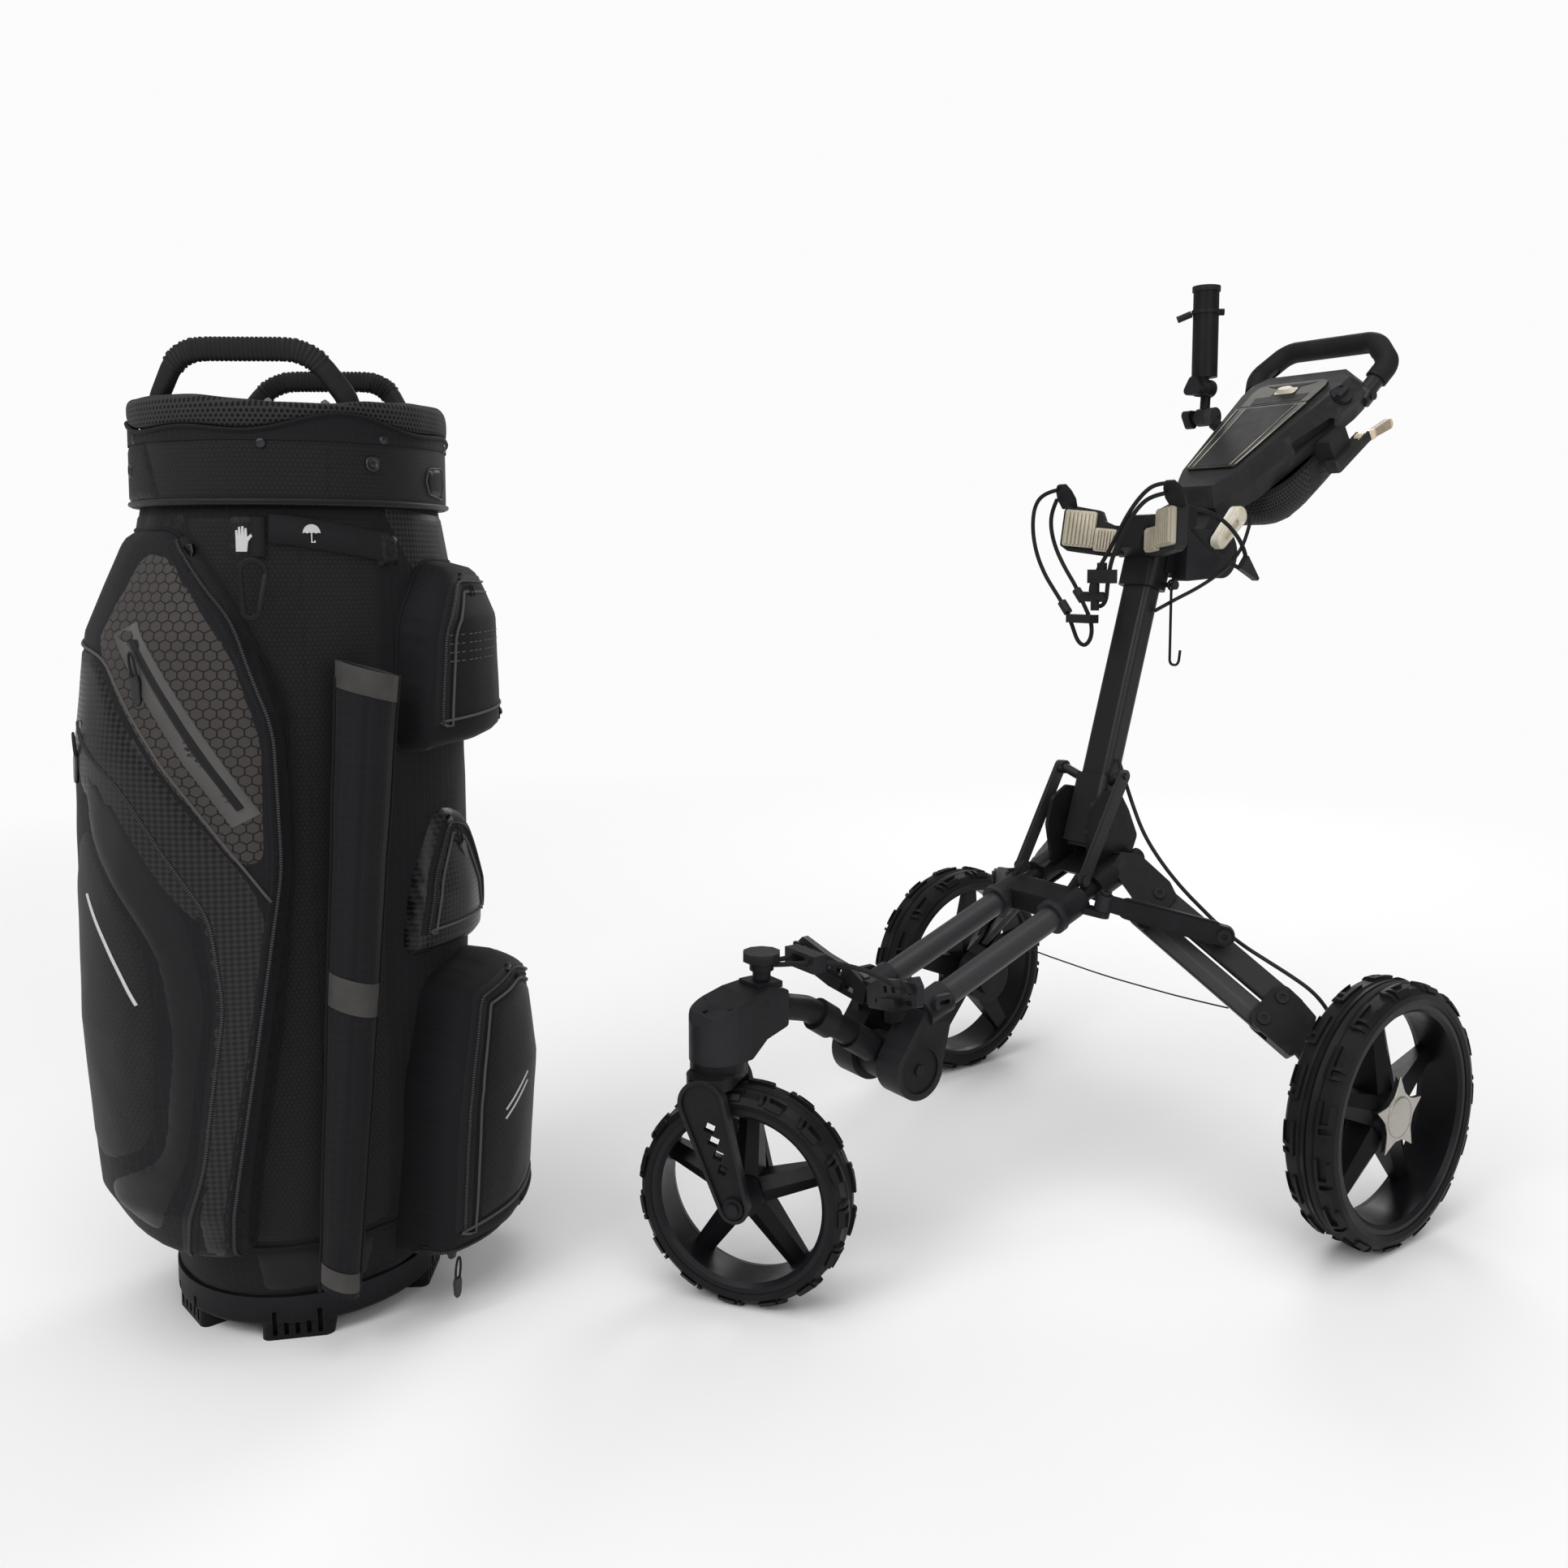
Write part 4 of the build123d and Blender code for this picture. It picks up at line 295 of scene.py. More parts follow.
micro_cloth = honeycomb("micro texture", (0.010, 0.010, 0.011), (0.003, 0.003, 0.003), 4.6, 0.3)
hexagon_cloth = honeycomb("honeycomb panel", (0.044, 0.039, 0.037), (0.007, 0.006, 0.006), 9.5, 0.5,
                          line=0.09)
carbon = twill("carbon cloth", (0.004, 0.004, 0.004), (0.018, 0.018, 0.020))
# Air mesh: the near-black ground in its holes is painted shade.
air_mesh = honeycomb("air mesh", (0.026, 0.026, 0.028), (0.002, 0.002, 0.002), 5.0, 0.9, 0.8,
                     0.38, True)
leather = pebbled("pebbled leather", (0.008, 0.0075, 0.0075))
# Divider mesh: the dark ground in its holes is painted shade.
grey_mesh = honeycomb("grey divider mesh", (0.17, 0.17, 0.175), (0.03, 0.03, 0.032), 5.0, 0.6,
                      0.85, 0.40, True)
grey_piping = woven("grey piping", (0.055, 0.053, 0.050), 1.8)
grey_strip = moulded("welded grey strip", (0.045, 0.043, 0.041), 0.45, 1500.0, 0.06)
webbing = woven("webbing", (0.007, 0.007, 0.008), 3.2, roughness=0.65)
zip_black = moulded("zip teeth", (0.02, 0.02, 0.022), 0.3, 2000.0, 0.03)


# --- Mesh helpers -------------------------------------------------------------
def piece(name, points, faces, body, material, slot, uvs=None, smooth=True):
    """A mesh piece that rides on a body, in the material given; the slot is not used."""
    mesh = bpy.data.meshes.new(name)
    mesh.from_pydata([tuple(point) for point in points], [], faces)
    if uvs:
        layer = mesh.uv_layers.new(name="UVMap")
        for loop in mesh.loops:
            layer.data[loop.index].uv = uvs[loop.vertex_index]
    shaped = bmesh.new()
    shaped.from_mesh(mesh)
    bmesh.ops.recalc_face_normals(shaped, faces=shaped.faces)
    shaped.to_mesh(mesh)
    shaped.free()
    mesh.materials.append(material)
    for face in mesh.polygons:
        face.use_smooth = smooth
    made = bpy.data.objects.new(name, mesh)
    bpy.context.scene.collection.objects.link(made)
    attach(made, body)
    return made


def ring_faces(rings, around, closed=True):
    """Quads between rings of points, each ring closed unless told otherwise."""
    faces = []
    steps = around if closed else around - 1
    for ring in range(rings - 1):
        for index in range(steps):
            other = (index + 1) % around
            faces.append((ring * around + index, ring * around + other,
                          (ring + 1) * around + other, (ring + 1) * around + index))
    return faces


def tube(name, path, radius, body, material, slot, sides=10, flat=1.0, closed=False):
    """A round or flattened bar along points, its ends capped; radius may be a function."""
    points, uvs = [], []
    path = [Vector(point) for point in path]
    count = len(path)
    side = None
    run = 0.0
    for index, point in enumerate(path):
        after = path[(index + 1) % count] if closed else path[min(index + 1, count - 1)]
        before = path[(index - 1) % count] if closed else path[max(index - 1, 0)]
        along = (after - before).normalized()
        if side is None:
            side = along.orthogonal().normalized()
        side = (side - along * side.dot(along)).normalized()
        up = along.cross(side)
        size = radius(index / max(1, count - 1)) if callable(radius) else radius
        for step in range(sides):
            angle = 2 * math.pi * step / sides
            points.append(point + side * (math.cos(angle) * size)
                          + up * (math.sin(angle) * size * flat))
            uvs.append((run, size * angle))
        run += (after - point).length
    faces = ring_faces(count, sides)
    if closed:
        last = (count - 1) * sides
        faces += [(last + index, last + (index + 1) % sides, (index + 1) % sides, index)
                  for index in range(sides)]
    else:
        faces.append(tuple(range(sides)))
        faces.append(tuple(range((count - 1) * sides, count * sides)))
    return piece(name, points, faces, body, material, slot, uvs)


def turned(name, origin, axis, profile, body, material, slot, sides=28):
    """A lathed piece: profile is (distance along axis, radius) in mm, from end to end."""
    axis = Vector(axis).normalized()
    side = axis.orthogonal().normalized()
    up = axis.cross(side)
    points = []
    for along, radius in profile:
        for step in range(sides):
            angle = 2 * math.pi * step / sides
            points.append(origin + axis * (along * MM)
                          + (side * math.cos(angle) + up * math.sin(angle)) * (radius * MM))
    faces = ring_faces(len(profile), sides)
    faces.append(tuple(range(sides)))
    faces.append(tuple(range((len(profile) - 1) * sides, len(profile) * sides)))
    return piece(name, points, faces, body, material, slot, smooth=len(profile) > 5)


def slab(name, origin, across, along, outline, thickness, body, material, slot, soften=0.6):
    """A flat plate with an outline in mm and bevelled edges."""
    across, along = Vector(across).normalized(), Vector(along).normalized()
    out = across.cross(along).normalized()
    count = len(outline)
    points = [origin + (across * x + along * y + out * lift) * MM
              for lift in (0, thickness) for x, y in outline]
    faces = [tuple(range(count)), tuple(range(count, 2 * count))] + ring_faces(2, count)
    made = piece(name, points, faces, body, material, slot, smooth=False)
    bevel = made.modifiers.new("soft edges", "BEVEL")
    bevel.width = soften * MM
    bevel.segments = 3
    return made


def rounded(points, corner, step=4.0, closed=True):
    """An outline or line with its corners turned into curves, sampled evenly."""
    points = [Vector(point) for point in points]
    count = len(points)
    line = []
    for index, point in enumerate(points):
        if not closed and index in (0, count - 1):
            line.append(point)
            continue
        before, after = points[index - 1], points[(index + 1) % count]
        reach = min(corner, (point - before).length * 0.45, (after - point).length * 0.45)
        start = point + (before - point).normalized() * reach
        finish = point + (after - point).normalized() * reach
        for share in (0, 0.25, 0.5, 0.75, 1):
            line.append(start * (1 - share) ** 2 + point * (2 * share * (1 - share))
                        + finish * share ** 2)
    even = []
    pairs = list(zip(line, line[1:] + line[:1])) if closed else list(zip(line, line[1:]))
    for start, finish in pairs:
        parts = max(1, round((finish - start).length / step))
        even += [start.lerp(finish, part / parts) for part in range(parts)]
    if not closed:
        even.append(line[-1])
    return even


def squared(angle, power):
    """A point of a circle squared off by a power below one."""
    return (math.copysign(abs(math.cos(angle)) ** power, math.cos(angle)),
            math.copysign(abs(math.sin(angle)) ** power, math.sin(angle)))


# --- Cords, along the routes of the CAD -----------------------------------------
def cord(node, body, route, diameter, material):
    """A cord on one smooth spline, riding with its body."""
    curve = bpy.data.curves.new(node + "_cord", "CURVE")
    curve.dimensions = "3D"
    line = curve.splines.new("NURBS")
    line.points.add(len(route) - 1)
    for point, place in zip(line.points, route):
        point.co = (*cart(*place), 1)
    line.order_u = 3
    line.use_endpoint_u = True
    line.resolution_u = 8
    curve.bevel_depth = diameter / 2 * MM
    curve.bevel_resolution = 3
    curve.use_fill_caps = True
    curve.materials.append(material)
    made = bpy.data.objects.new(node + "_cord", curve)
    bpy.context.scene.collection.objects.link(made)
    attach(made, body)
    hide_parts(node)


ELASTIC, CABLE, CROSS = 5.0, 4.4, 1.8
RIGHT_LOOP = (
    (-88, -66, 800), (-104, -71, 797), (-119, -72, 782), (-121, -73, 754), (-113, -74, 724),
    (-99, -73, 697), (-81, -72, 675), (-64, -71, 654), (-55, -70, 634), (-46, -71, 617),
    (-33, -72, 612), (-24, -71, 624), (-27, -69, 643), (-41, -67, 662), (-57, -64, 684),
    (-77, -62, 706), (-94, -61, 731), (-102, -61, 756), (-99, -62, 776), (-90, -63, 789))
LEFT_LOOP = (
    (80, -66, 801), (70, -76, 801), (56, -82, 790), (40, -86, 769), (25, -87, 744),
    (9, -85, 722), (-11, -81, 700), (-22, -78, 682), (-20, -76, 666), (-9, -75, 659),
    (1, -76, 667), (5, -79, 684), (12, -84, 707), (25, -88, 731), (38, -87, 755),
    (50, -82, 775), (62, -75, 787), (74, -66, 790))
TAB_LOOP = (
    (69, -8, 773), (69, 14, 773), (72, 36, 765), (75, 56, 752), (77, 73, 735), (78, 82, 716),
    (78, 78, 706), (77, 66, 706), (76, 48, 714), (74, 27, 724), (71, 6, 738), (68, -12, 754))
LOWER_CORD = (
    (88, -459, 292), (66, -467, 302), (40, -486, 311), (19, -508, 314), (10, -535, 315),
    (9, -554, 317), (7, -568, 319), (0, -574, 320), (-7, -568, 319), (-9, -554, 317),
    (-10, -535, 315), (-19, -508, 314), (-40, -486, 311), (-66, -467, 302), (-88, -459, 292))
UPPER_CABLE = (
    (22.6, -15, 655), (34, 6, 668), (46, 28, 680), (55, 51, 694), (58, 76, 709), (58, 98, 727),
    (57, 112, 748), (56, 120, 768))
LOWER_CABLE = (
    (22.6, -74, 482), (34, -77, 462), (49, -80, 434), (70, -85, 403), (91, -80, 374),
    (110, -67, 346), (129, -52, 322), (150, -44, 303), (172, -36, 288), (196, -30, 277),
    (220, -22, 265), (243, -13, 251), (258, -6, 232), (265, -3, 210), (269, -1, 190),
    (270, 0, 177.5))
CROSS_CABLE = (
    (172, -62, 223), (114, -62, 219), (57, -61, 217), (0, -62, 216), (-57, -61, 217),
    (-114, -62, 219), (-172, -62, 223))
for node, body, route, length in (
        ("bungee_right", "column", RIGHT_LOOP, 0.440), ("bungee_left", "column", LEFT_LOOP, 0.359),
        ("bungee_tab", "column", TAB_LOOP, 0.228), ("bungee_lower", "front_arm", LOWER_CORD, 0.314)):
    cord(node, body, route, ELASTIC, cord_braid)
for node, body, route, length in (("brake_cable_upper", "column", UPPER_CABLE, 0.187),
                                  ("brake_cable_lower", "bracket", LOWER_CABLE, 0.420)):
    cord(node, body, route, CABLE, cable_sleeve)
cord("cross_cable", "bracket", CROSS_CABLE, CROSS, cable_sleeve)


# --- The bag's surface -----------------------------------------------------------
# A cover is a surface round the bag's axis: a turn from the front and a height
# give a radius. A pocket's cover rises from the one under it inside an outline.
ROUND = 150.0     # mm round the bag per radian of turn, for patterns and meshing


def blend_levels(levels, z):
    """Centre and half sizes at a height, smoothly between the given levels."""
    if z <= levels[0][0]:
        return levels[0][1:]
    for low, high in zip(levels, levels[1:]):
        if z <= high[0]:
            share = (z - low[0]) / (high[0] - low[0])
            return [a + (b - a) * share for a, b in zip(low[1:], high[1:])]
    return levels[-1][1:]


def ellipse_reach(levels, turn, z):
    """How far an off-centre ellipse reaches from the bag's axis along a turn."""
    x, y, half_x, half_y = blend_levels(levels, z)
    out_x, out_y = math.sin(turn), -math.cos(turn)
    a = (out_x / half_x) ** 2 + (out_y / half_y) ** 2
    b = -2 * (out_x * x / half_x ** 2 + out_y * y / half_y ** 2)
    c = (x / half_x) ** 2 + (y / half_y) ** 2 - 1
    return (-b + math.sqrt(max(0.0, b * b - 4 * a * c))) / (2 * a)


def edge_distance(outline, s, z):
    """Distance in mm from a point to the outline of a patch."""
    point = Vector((s, z))
    best = 1e9
    for start, finish in zip(outline, outline[1:] + outline[:1]):
        run = finish - start
        share = max(0.0, min(1.0, (point - start).dot(run) / run.length_squared))
        best = min(best, (start + run * share - point).length_squared)
    return math.sqrt(best)


def is_inside(outline, s, z):
    inside = False
    for start, finish in zip(outline, outline[1:] + outline[:1]):
        if (start.y > z) != (finish.y > z):
            if s < start.x + (finish.x - start.x) * (z - start.y) / (finish.y - start.y):
                inside = not inside
    return inside


class Cover:
    def __init__(self, levels, under=None, front=None, rear=None, edge=14.0, folds=1.2, seed=0):
        self.levels, self.under, self.edge, self.folds = levels, under, edge, folds
        self.seed = Vector((seed * 17.3, seed * 5.1, seed * 9.7))
        self.outline = None
        if front:
            corners = [self.flat(x, z, rear) for x, z in front]
            self.outline = rounded(corners, 22, 7)

    def creases(self, s, z):
        """Soft upright folds, the same at every height."""
        place = Vector((s / 42, z / 110, 0)) + self.seed
        fine = Vector((s / 19, z / 36, 3)) + self.seed
        return (noise.noise(place) + 0.4 * noise.noise(fine)) * self.folds

    def radius(self, s, z):
        reach = ellipse_reach(self.levels, s / ROUND, z)
        if not self.under:
            return reach + self.creases(s, z)
        below = self.under.radius(s, z)
        if not is_inside(self.outline, s, z):
            return below
        share = min(1.0, edge_distance(self.outline, s, z) / self.edge)
        lift = math.sqrt(1 - (1 - share) ** 2)
        return below + max(1.5, reach - below + self.creases(s, z)) * lift

    def flat(self, x, z, rear=None):
        """Where a point seen from the front lies: mm round the bag, and height."""
        side = 1 if x > 0 else -1
        turn = 0.0
        step = math.radians(1.5)
        limit = math.radians(88)
        while abs(turn) < limit and abs(ellipse_reach(self.levels, turn, z)
                                        * math.sin(turn)) < abs(x):
            turn += side * step
            if abs(turn) > math.radians(60) and ellipse_reach(
                    self.levels, turn + side * step, z) * abs(math.sin(turn + side * step)) \
                    < ellipse_reach(self.levels, turn, z) * abs(math.sin(turn)):
                turn = side * limit
        if rear is not None and abs(turn) >= limit:
            turn = side * (math.pi / 2 + math.atan2(rear, 150))
        return Vector((turn * ROUND, z))

    def point(self, place, lift=0.0):
        s, z = place
        reach = self.radius(s, z) + lift
        turn = s / ROUND
        return bag(reach * math.sin(turn), -reach * math.cos(turn), z)


def patch(name, cover, outline, lift, material, slot, step=6.0, edge=2.0, body="bag"):
    """A piece of cloth on a cover, cut to an outline, its edge turned in."""
    low = Vector((min(p.x for p in outline), min(p.y for p in outline)))
    high = Vector((max(p.x for p in outline), max(p.y for p in outline)))
    grid = []
    row = 0
    z = low.y + step / 2
    while z < high.y:
        s = low.x + step * (0.25 if row % 2 else 0.75)
        while s < high.x:
            if is_inside(outline, s, z) and edge_distance(outline, s, z) > step * 0.45:
                grid.append(Vector((s, z)))
            s += step
        z += step * 0.87
        row += 1
    count = len(outline)
    edges = [(index, (index + 1) % count) for index in range(count)]
    found, _, faces, _, _, _ = geometry.delaunay_2d_cdt(outline + grid, edges, [], 1, 1e-4)
    points, uvs = [], []
    for place in found:
        near = min(1.0, edge_distance(outline, place.x, place.y) / edge)
        rise = lift * math.sqrt(1 - (1 - near) ** 2)
        points.append(cover.point(place, rise - (0.3 if near < 0.05 else 0.0)))
        uvs.append((place.x * MM, place.y * MM))
    return piece(name, points, faces, body, material, slot, uvs)


def all_round(z, step=8):
    """A line right round the bag at a height."""
    return [Vector((s, z)) for s in range(-470, 471, step)]


def cut(cover, corners, corner=20.0, step=6.0):
    return rounded([cover.flat(x, z, 70.0) for x, z in corners], corner, step)


def route(cover, corners, corner=20.0, step=6.0):
    return rounded([cover.flat(x, z, 70.0) for x, z in corners], corner, step, closed=False)


def piping(name, cover, line, radius, material, closed=False, lift=0.6):
    path = [cover.point(place, lift) for place in line]
    return tube(name, path, radius * MM, "bag", material, "bag_nylon", 8, closed=closed)


def strip(name, cover, line, half, lift, material, body="bag", drop=None):
    """A flat tape along a line on a cover."""
    points, uvs = [], []
    run = 0.0
    for index, place in enumerate(line):
        after, before = line[min(index + 1, len(line) - 1)], line[max(index - 1, 0)]
        along = (after - before).normalized()
        across = Vector((-along.y, along.x))
        foot = -0.4 if drop is None else lift - drop
        for offset, rise in ((-half, foot), (-half + 0.8, lift), (half - 0.8, lift), (half, foot)):
            points.append(cover.point(place + across * offset, rise))
            uvs.append((run * MM, offset * MM))
        run += (after - place).length
    return piece(name, points, ring_faces(len(line), 4, closed=False), body, material,
                 "bag_nylon", uvs)


def stitching(name, cover, line, lift=1.0, dash=4.0, gap=3.0, material=None):
    """One row of raised stitches."""
    points, faces = [], []
    total = 0.0
    for place, after in zip(line, line[1:]):
        run = after - place
        steps = int((total + run.length) // (dash + gap)) - int(total // (dash + gap))
        total += run.length
        if not steps or run.length == 0:
            continue
        along = run.normalized()
        across = Vector((-along.y, along.x))
        first = len(points)
        for shift, width, rise in ((0, 0.15, 0.0), (0.5, 0.55, 0.5), (dash - 0.5, 0.55, 0.5),
                                   (dash, 0.15, 0.0)):
            for side in (-1, 1):
                points.append(cover.point(place + along * shift + across * side * width,
                                          lift + rise))
        faces += [(first + index, first + index + 1, first + index + 3, first + index + 2)
                  for index in (0, 2, 4)]
    return piece(name, points, faces, "bag", material or grey_piping, "bag_nylon")


def puller(name, cover, place, heading, length=30.0):
    """A zip's slider with a moulded pull and a cord loop, lying along a heading."""
    centre = cover.point(place, 3.2)
    out = (cover.point(place, 10) - cover.point(place, 0)).normalized()
    angle = math.radians(heading)
    ahead = place + Vector((math.cos(angle), math.sin(angle))) * 10
    along = (cover.point(ahead, 0) - cover.point(place, 0))
    along = (along - out * along.dot(out)).normalized()
    across = out.cross(along)
    slider = ((-4, -7), (4, -7), (5.5, 0), (3, 7), (-3, 7), (-5.5, 0))
    slab(name + "_slider", centre - out * 2 * MM, along.cross(out) * -1, along, slider, 5.0,
         "bag", chrome_dark, "fitting_black", 1.2)
    loop = [centre + along * (4 + 13 * (1 - math.cos(t))) * MM + across * 3.4 * math.sin(t) * MM
            + out * (2.6 + 1.2 * math.cos(t)) * MM
            for t in [math.pi * 2 * i / 16 for i in range(16)]]
    tube(name + "_loop", loop, 1.1 * MM, "bag", cord_braid, "fitting_black", 8, closed=True)
    tab = ((-4, 0), (4, 0), (5.5, 5), (4.5, length - 8), (2, length - 4), (-2, length - 4),
           (-4.5, length - 8), (-5.5, 5))
    slab(name + "_tab", centre + along * 24 * MM, across * -1, along, tab, 3.2, "bag",
         chrome_dark, "fitting_black", 1.4)


def zipper(name, cover, line, half=7.0):
    """Zip tape with its coil of teeth down the middle."""
    strip(name + "_tape", cover, line, half, 0.9, webbing)
    path = [cover.point(place, 1.4) for place in line]
    tube(name + "_teeth", path, 1.9 * MM, "bag", zip_teeth, "bag_nylon", 8, 0.7)


print_paint = Paint("pale print", (0.5, 0.5, 0.5), 0.6)
pale_print = print_paint.bump(print_paint.noise(900.0), 0.05, 0.4).done()
chrome_dark = metal("black nickel", (0.05, 0.05, 0.055), 0.3)
teeth_paint = Paint("zip coil", (0.012, 0.012, 0.013), 0.35, "UV")
teeth_paint.tint(teeth_paint.ramp(teeth_paint.wave(2.2, 1, 0), 0.0, 1.0), (0.06, 0.06, 0.065))
zip_teeth = teeth_paint.bump(teeth_paint.wave(2.2, 1, 0), 0.4, 0.8).done()

RIM_TOP = 860.0
body_cover = Cover(((43, 0, 0, 122, 122), (92, 0, 0, 132, 130), (170, 0, 0, 156, 138),
                    (400, 0, 0, 158, 139), (640, 0, 0, 156, 138), (762, 0, 0, 135, 135)), folds=1.5)


def band(name, cover, z_low, z_high, material, slot, inner, step=9.0, around=120, close=True):
    """A shell right round the bag, with an inside face as well."""
    rows = max(2, round((z_high - z_low) / step))
    points, uvs = [], []
    heights = [z_low + (z_high - z_low) * row / rows for row in range(rows + 1)]
    for z, lift in [(z, 0.0) for z in heights] + [(z, -inner) for z in reversed(heights)]:
        for index in range(around):
            s = (index / around * 2 - 1) * math.pi * ROUND
            points.append(cover.point((s, z), lift))
            uvs.append((s * MM, z * MM))
    faces = ring_faces(2 * (rows + 1), around)
    if close:
        first = 2 * rows * around + around
        faces += [(first + i, first + (i + 1) % around, (i + 1) % around, i)
                  for i in range(around)]
    return piece(name, points, faces, "bag", material, slot, uvs)


shell = band("bag_shell", body_cover, 43, 762, ripstop, "bag_nylon", 3.6, close=True)
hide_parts("bag_body")
floor_rows = [bag(r * math.cos(a), r * math.sin(a), 47) for r in (118, 60) for a in
              [2 * math.pi * i / 48 for i in range(48)]]
piece("bag_floor", floor_rows, ring_faces(2, 48) + [tuple(range(48, 96))], "bag", nylon,
      "bag_nylon")

# The fabric band above the base, with its smoother front inset.
piping("base_seam", body_cover, all_round(92), 1.6, nylon, closed=True)
patch("base_inset", body_cover, rounded([Vector(p) for p in (
    (-60, 48), (52, 48), (60, 86), (-66, 86))], 6), 1.2, satin_cloth, "bag_nylon")

# Centre panels between the pockets.
patch("centre_panel", body_cover, cut(body_cover, (
    (-66, 98), (60, 98), (62, 400), (66, 640), (60, 752), (-96, 752), (-52, 668), (-14, 590),
    (-10, 450), (-26, 300)), 12), 0.9, micro_cloth, "bag_nylon")
stitching("centre_stitch", body_cover, route(body_cover, ((-2, 746), (0, 560), (4, 110))), 1.2,
          material=webbing)
patch("shoulder_left", body_cover, cut(body_cover, (
    (-126, 600), (-92, 756), (-140, 756), (-150, 700)), 10), 1.0, leather, "bag_panel")
patch("shoulder_right", body_cover, cut(body_cover, (
    (66, 764), (134, 756), (152, 690), (120, 676), (92, 712)), 14), 1.1, carbon, "bag_nylon")

# Left-hand apparel pocket with its dry pocket, bands and zips.
apparel = Cover(((80, -22, -10, 130, 132), (140, -34, -14, 152, 142), (300, -38, -16, 160, 146),
                 (540, -36, -16, 160, 146), (650, -26, -12, 158, 144), (745, -8, -4, 137, 138)),
                body_cover,
                ((-210, 640), (-150, 742), (-106, 742), (-60, 668), (-20, 590), (-14, 450),
                 (-30, 300), (-62, 86), (-120, 84), (-180, 120), (-215, 230)), 70, 16, 1.6, 2)
made = patch("apparel_front", apparel, apparel.outline, 0.0, ripstop, "bag_panel")
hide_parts("apparel_pocket")
piping("apparel_piping", apparel, apparel.outline, 2.2, nylon, closed=True, lift=0.5)
patch("dry_panel", apparel, cut(apparel, (
    (-128, 722), (-104, 718), (-62, 640), (-38, 560), (-36, 455), (-58, 452), (-168, 640)), 16),
    1.3, hexagon_cloth, "bag_panel")
strip("dry_weld", apparel, route(apparel, ((-143, 656), (-50, 492))), 12, 1.9, grey_strip)
strip("dry_zip", apparel, route(apparel, ((-137, 646), (-54, 502))), 3.5, 2.6, satin_cloth)
puller("dry_puller", apparel, apparel.flat(-134, 640), -84)
patch("carbon_band", apparel, cut(apparel, (
    (-186, 640), (-168, 632), (-52, 440), (-36, 408), (-48, 300), (-78, 96), (-96, 96),
    (-80, 330), (-86, 400)), 16), 1.2, carbon, "bag_panel")
piping("band_piping_high", apparel, route(apparel, (
    (-184, 652), (-160, 632), (-34, 420))), 1.3, grey_piping, lift=1.2)
zipper("main_zip", apparel, route(apparel, (
    (-104, 732), (-62, 662), (-26, 570), (-24, 448), (-44, 300), (-72, 92))))
puller("main_puller", apparel, apparel.flat(-98, 722), -92)
zipper("side_zip", apparel, route(apparel, (
    (-190, 570), (-150, 520), (-84, 410), (-74, 329), (-92, 180), (-108, 94))))
puller("side_puller", apparel, apparel.flat(-186, 566), -95)
patch("satin_swoosh", apparel, cut(apparel, (
    (-184, 540), (-150, 500), (-100, 410), (-88, 330), (-104, 190), (-128, 110), (-178, 150),
    (-128, 190), (-116, 300), (-128, 380), (-180, 470)), 24), 1.5, satin_cloth, "bag_panel")
patch("micro_panel", apparel, cut(apparel, (
    (-190, 470), (-178, 480), (-136, 380), (-126, 300), (-136, 200), (-180, 170), (-194, 230)),
    24), 0.9, micro_cloth, "bag_panel")
strip("reflex_bar", apparel, route(apparel, ((-184, 420), (-142, 330))), 1.8, 1.9, pale_print)

# Right-hand pockets.
upper = Cover(((530, 36, -22, 146, 128), (560, 40, -24, 148, 136), (660, 38, -24, 148, 134),
               (722, 22, -14, 138, 130)), body_cover,
              ((86, 536), (190, 548), (196, 640), (176, 712), (118, 716), (98, 660)), 10, 14, 1.2, 3)
made = patch("upper_front", upper, upper.outline, 0.0, nylon, "bag_nylon")
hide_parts("upper_pocket")
piping("upper_piping", upper, upper.outline, 2.0, nylon, closed=True)
middle_cover = Cover(((325, 6, -12, 162, 134), (400, 8, -12, 162, 138), (488, 2, -4, 158, 138)),
                     body_cover, ((84, 346), (172, 346), (168, 405), (150, 470), (118, 484),
                                  (94, 420)), 5, 10, 1.0, 4)
made = patch("middle_front", middle_cover, middle_cover.outline, 0.0, carbon, "bag_nylon")
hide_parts("middle_pocket")
ball = Cover(((48, 56, -26, 140, 118), (80, 60, -28, 150, 130), (220, 62, -30, 156, 136),
              (300, 56, -26, 154, 132), (345, 36, -16, 146, 128)), body_cover,
             ((92, 52), (214, 70), (222, 200), (216, 290), (176, 338), (120, 322), (100, 220)),
             36, 16, 1.5, 5)
made = patch("ball_front", ball, ball.outline, 0.0, nylon, "bag_nylon")
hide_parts("ball_pocket")


def inset(outline, distance):
    """The outline drawn in by a distance, for lines that follow a pocket's edge."""
    result = []
    count = len(outline)
    for index, place in enumerate(outline):
        along = (outline[(index + 1) % count] - outline[index - 1]).normalized()
        inward = Vector((-along.y, along.x))
        if not is_inside(outline, *(place + inward * 2)):
            inward = -inward
        result.append(place + inward * distance)
    return result


